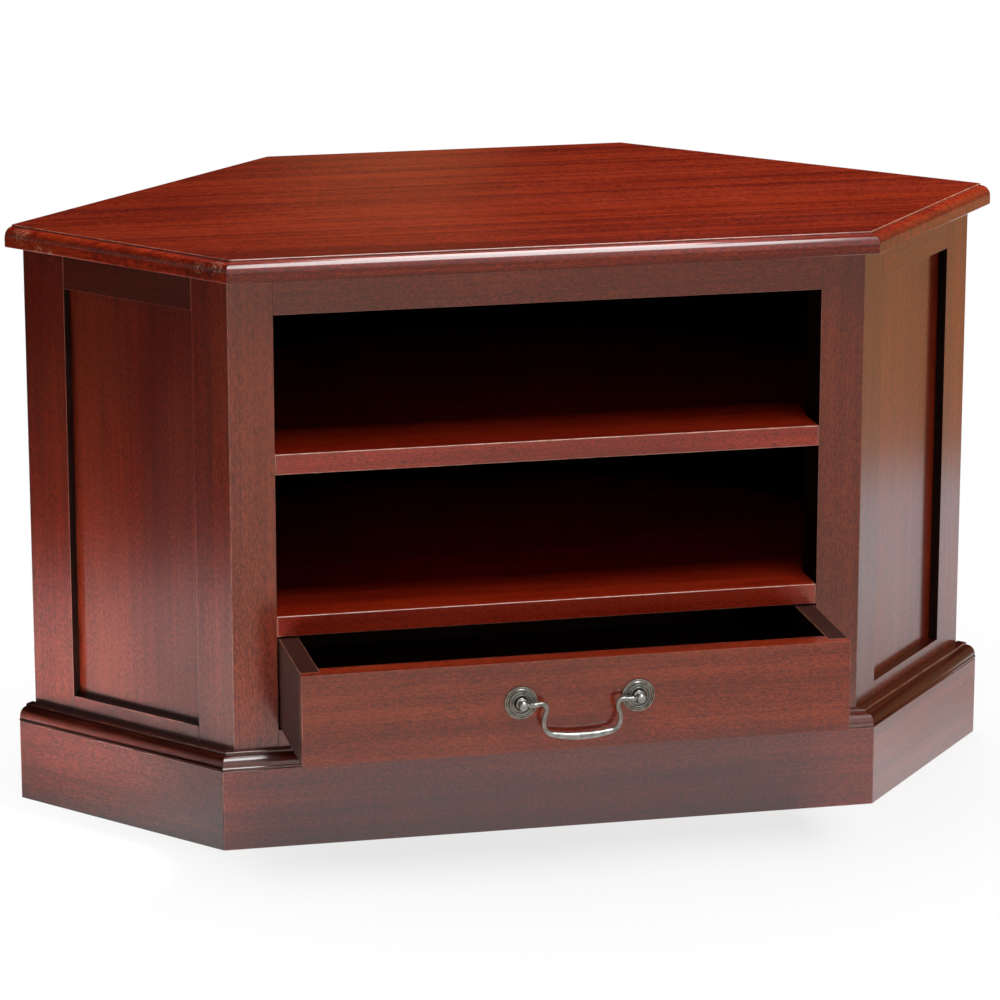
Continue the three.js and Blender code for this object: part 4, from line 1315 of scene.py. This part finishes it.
@dataclass
class Studio:
    """White floor and background for the camera, lamps, and the camera at the photograph's angle.

    It is not plain to mirrored rays: they see shades that change with place and direction. Those
    shades and the third lamp were tuned until the lacquer's sheen came near the photograph's.
    """

    focal_mm: float = 159.68
    sensor_mm: float = 36.0
    clip_end: float = 60.0
    camera_place: tuple[float, float, float] = (-0.9683, -4.3359, 1.4782)
    camera_yaw: float = 0.21723
    camera_pitch: float = 0.26123
    floor_half: float = 12.0
    floor_drop_mm: float = 0.2
    shadow_middle: tuple[float, float, float] = (0.13, 0.05, 0.0)
    room_light: float = 0.006
    # What mirrored rays see of the world behind: a tint, and low down one upright strip of white
    tint: str = "#D8A070"
    strip: tuple[tuple[float, str], ...] = (
        (0.15, "#000000"), (0.18, "#FFFFFF"), (0.2, "#FFFFFF"), (0.22, "#000000"),
    )
    # Stops across the floor: its paint, and what mirrored rays see beside and before the cabinet
    sheet: tuple[tuple[float, str], ...] = (
        (0.28, "#3A3836"), (0.32, "#F2F2F2"), (0.78, "#F4F4F4"), (0.86, "#DCA678"),
    )
    beside: tuple[tuple[float, str], ...] = (
        (0.168, "#040404"), (0.238, "#FFF2F0"), (0.3, "#FFEDEA"), (0.33, "#CFC5C3"),
        (0.375, "#CFC5C3"), (0.405, "#FFFFFF"), (0.6, "#FFFFFF"), (0.65, "#D8D6D4"),
        (0.73, "#F4F4F4"), (0.815, "#F8FAFF"), (0.87, "#D29E72"),
    )
    before: tuple[tuple[float, str], ...] = ((0.45, "#F0D2BE"), (0.66, "#D8B6A4"))
    lamps: tuple[Lamp, ...] = (
        Lamp("overhead_lamp", (0.4, -0.25, 2.45), (0.4, -0.25, 0.0), (0.9, 2.8), 78.0),
        Lamp("right_lamp", (2.7, -0.3, 1.2), (0.0, 0.0, 0.3), (1.2, 1.6), 2.6),
        Lamp("left_floor_lamp", (-0.622, -0.16, 0.3), (-0.622, -0.16, 0.0), (0.12, 0.3), 10.8, 42.0,
             math.radians(40.5)),
    )

    def make(self) -> None:
        """Sets up the camera, the floor, the lamps and the world."""
        self.make_camera()
        self.make_floor()
        for lamp in self.lamps:
            lamp.hang()
        self.make_world()
        bpy.context.scene.view_settings.view_transform = "Standard"

    def make_camera(self) -> None:
        """Puts the camera where it took the photograph."""
        bpy.ops.object.camera_add(
            location=self.camera_place,
            rotation=(math.pi / 2 - self.camera_pitch, 0.0, -self.camera_yaw),
        )
        camera = bpy.context.active_object
        camera.data.lens = self.focal_mm
        camera.data.sensor_width = self.sensor_mm
        camera.data.clip_end = self.clip_end
        bpy.context.scene.camera = camera

    def make_floor(self) -> None:
        """Lays the floor, which is white to the camera away from the cabinet's shadow."""
        bpy.ops.object.select_all(action="DESELECT")
        bpy.ops.mesh.primitive_plane_add(size=2 * self.floor_half, location=-self.floor_drop_mm * MM * UP)
        floor = bpy.context.active_object
        floor.name = "studio_floor"
        paper, tree = new_material("pale_paper_floor")
        place = add_node(tree, "TexCoord").outputs["Object"]
        distance = add_node(tree, "VectorMath", {0: place, 1: self.shadow_middle}, operation="DISTANCE")
        far = add_node(tree, "MapRange", {"Value": distance.outputs["Value"], **SHADOW_FADE},
                       interpolation_type="SMOOTHSTEP")
        parts = add_node(tree, "SeparateXYZ", {"Vector": place}).outputs
        across = add_node(tree, "MapRange", {"Value": parts["X"], **FLOOR_ACROSS})
        sheet, beside, before = (add_node(tree, "ValToRGB", {"Fac": across}) for _ in range(3))
        for ramp, stops in ((sheet, self.sheet), (beside, self.beside), (before, self.before)):
            set_stops(ramp, stops)
        camera_ray, mirrored_ray = self.rays(tree)
        ahead = add_node(tree, "MapRange", {"Value": parts["Y"], **FLOOR_BEFORE})
        mirrored_sheet = add_node(tree, "Mix", {0: ahead, 6: beside, 7: before}, data_type="RGBA").outputs[2]
        seen = add_node(tree, "Math", {0: far, 1: camera_ray, 2: mirrored_ray}, operation="MULTIPLY_ADD")
        paint = add_node(tree, "BsdfDiffuse", {"Color": sheet})
        shown = add_node(tree, "Mix", {0: camera_ray, 6: mirrored_sheet, 7: WHITE}, data_type="RGBA")
        glow = add_node(tree, "Emission", {"Color": shown.outputs[2], "Strength": 1.0})
        mixed = add_node(tree, "MixShader", {0: seen, 1: paint, 2: glow})
        add_node(tree, "OutputMaterial", {"Surface": mixed})
        floor.data.materials.append(paper)

    @staticmethod
    def rays(tree: bpy.types.NodeTree) -> tuple[bpy.types.NodeSocket, bpy.types.Node]:
        """Adds what tells camera rays and mirrored rays.

        Args:
            tree: The node tree.

        Returns:
            The camera ray's socket, and the node for glossy and transmission rays.
        """
        path = add_node(tree, "LightPath").outputs
        glossy = add_node(tree, "Math", {0: path["Is Glossy Ray"], 1: path["Is Transmission Ray"]},
                          operation="MAXIMUM")
        return path["Is Camera Ray"], glossy

    def make_world(self) -> None:
        """Makes the background white to the camera, dim to the light, and uneven to mirrored rays."""
        world = bpy.data.worlds.new("studio_world")
        bpy.context.scene.world = world
        world.use_nodes = True
        tree = world.node_tree
        tree.nodes.clear()
        parts = add_node(tree, "SeparateXYZ", {
            "Vector": add_node(tree, "TexCoord").outputs["Generated"],
        }).outputs
        camera_ray, mirrored_ray = self.rays(tree)
        ahead, beside, low = (
            add_node(tree, "MapRange", {"Value": parts[axis], **edges}, interpolation_type="SMOOTHSTEP")
            for axis, edges in (("Y", WORLD_AHEAD), ("X", WORLD_BESIDE), ("Z", WORLD_LOW))
        )
        around = add_node(tree, "Math", {0: ahead, 1: beside}, operation="MAXIMUM")
        strip = add_node(tree, "ValToRGB", {"Fac": parts["X"]})
        set_stops(strip, self.strip)
        strip = add_node(tree, "Math", {0: strip, 1: low}, operation="MULTIPLY")
        around = add_node(tree, "Math", {0: around, 1: strip}, operation="MAXIMUM")
        share = add_node(tree, "Math", {0: mirrored_ray, 1: around}, operation="MULTIPLY")
        warm = add_node(tree, "MapRange", {"Value": parts["Y"], **WORLD_WARM})
        tint = add_node(tree, "Mix", {0: warm, 6: WHITE, 7: linear(self.tint)}, data_type="RGBA")
        colour = add_node(tree, "Mix", {0: camera_ray, 6: tint.outputs[2], 7: WHITE}, data_type="RGBA")
        shown = add_node(tree, "Math", {0: camera_ray, 1: share}, operation="MAXIMUM")
        room = add_node(tree, "Background", {"Color": WHITE, "Strength": self.room_light})
        white = add_node(tree, "Background", {"Color": colour.outputs[2], "Strength": 1.0})
        mixed = add_node(tree, "MixShader", {0: shown, 1: room, 2: white})
        add_node(tree, "OutputWorld", {"Surface": mixed})


def main() -> None:
    """Builds the cabinet part by part, then the studio."""
    logging.basicConfig(level=logging.INFO, format="%(name)s: %(message)s")
    plan = Plan("top_slab")
    for assembly in (TopSlab(plan), Carcass(plan), Plinth(plan), DrawerCarriage(), Drawer(), DropHandle()):
        assembly.make()
        LOG.info("made %s", type(assembly).__name__)
    Studio().make()


if __name__ == "__main__":
    main()
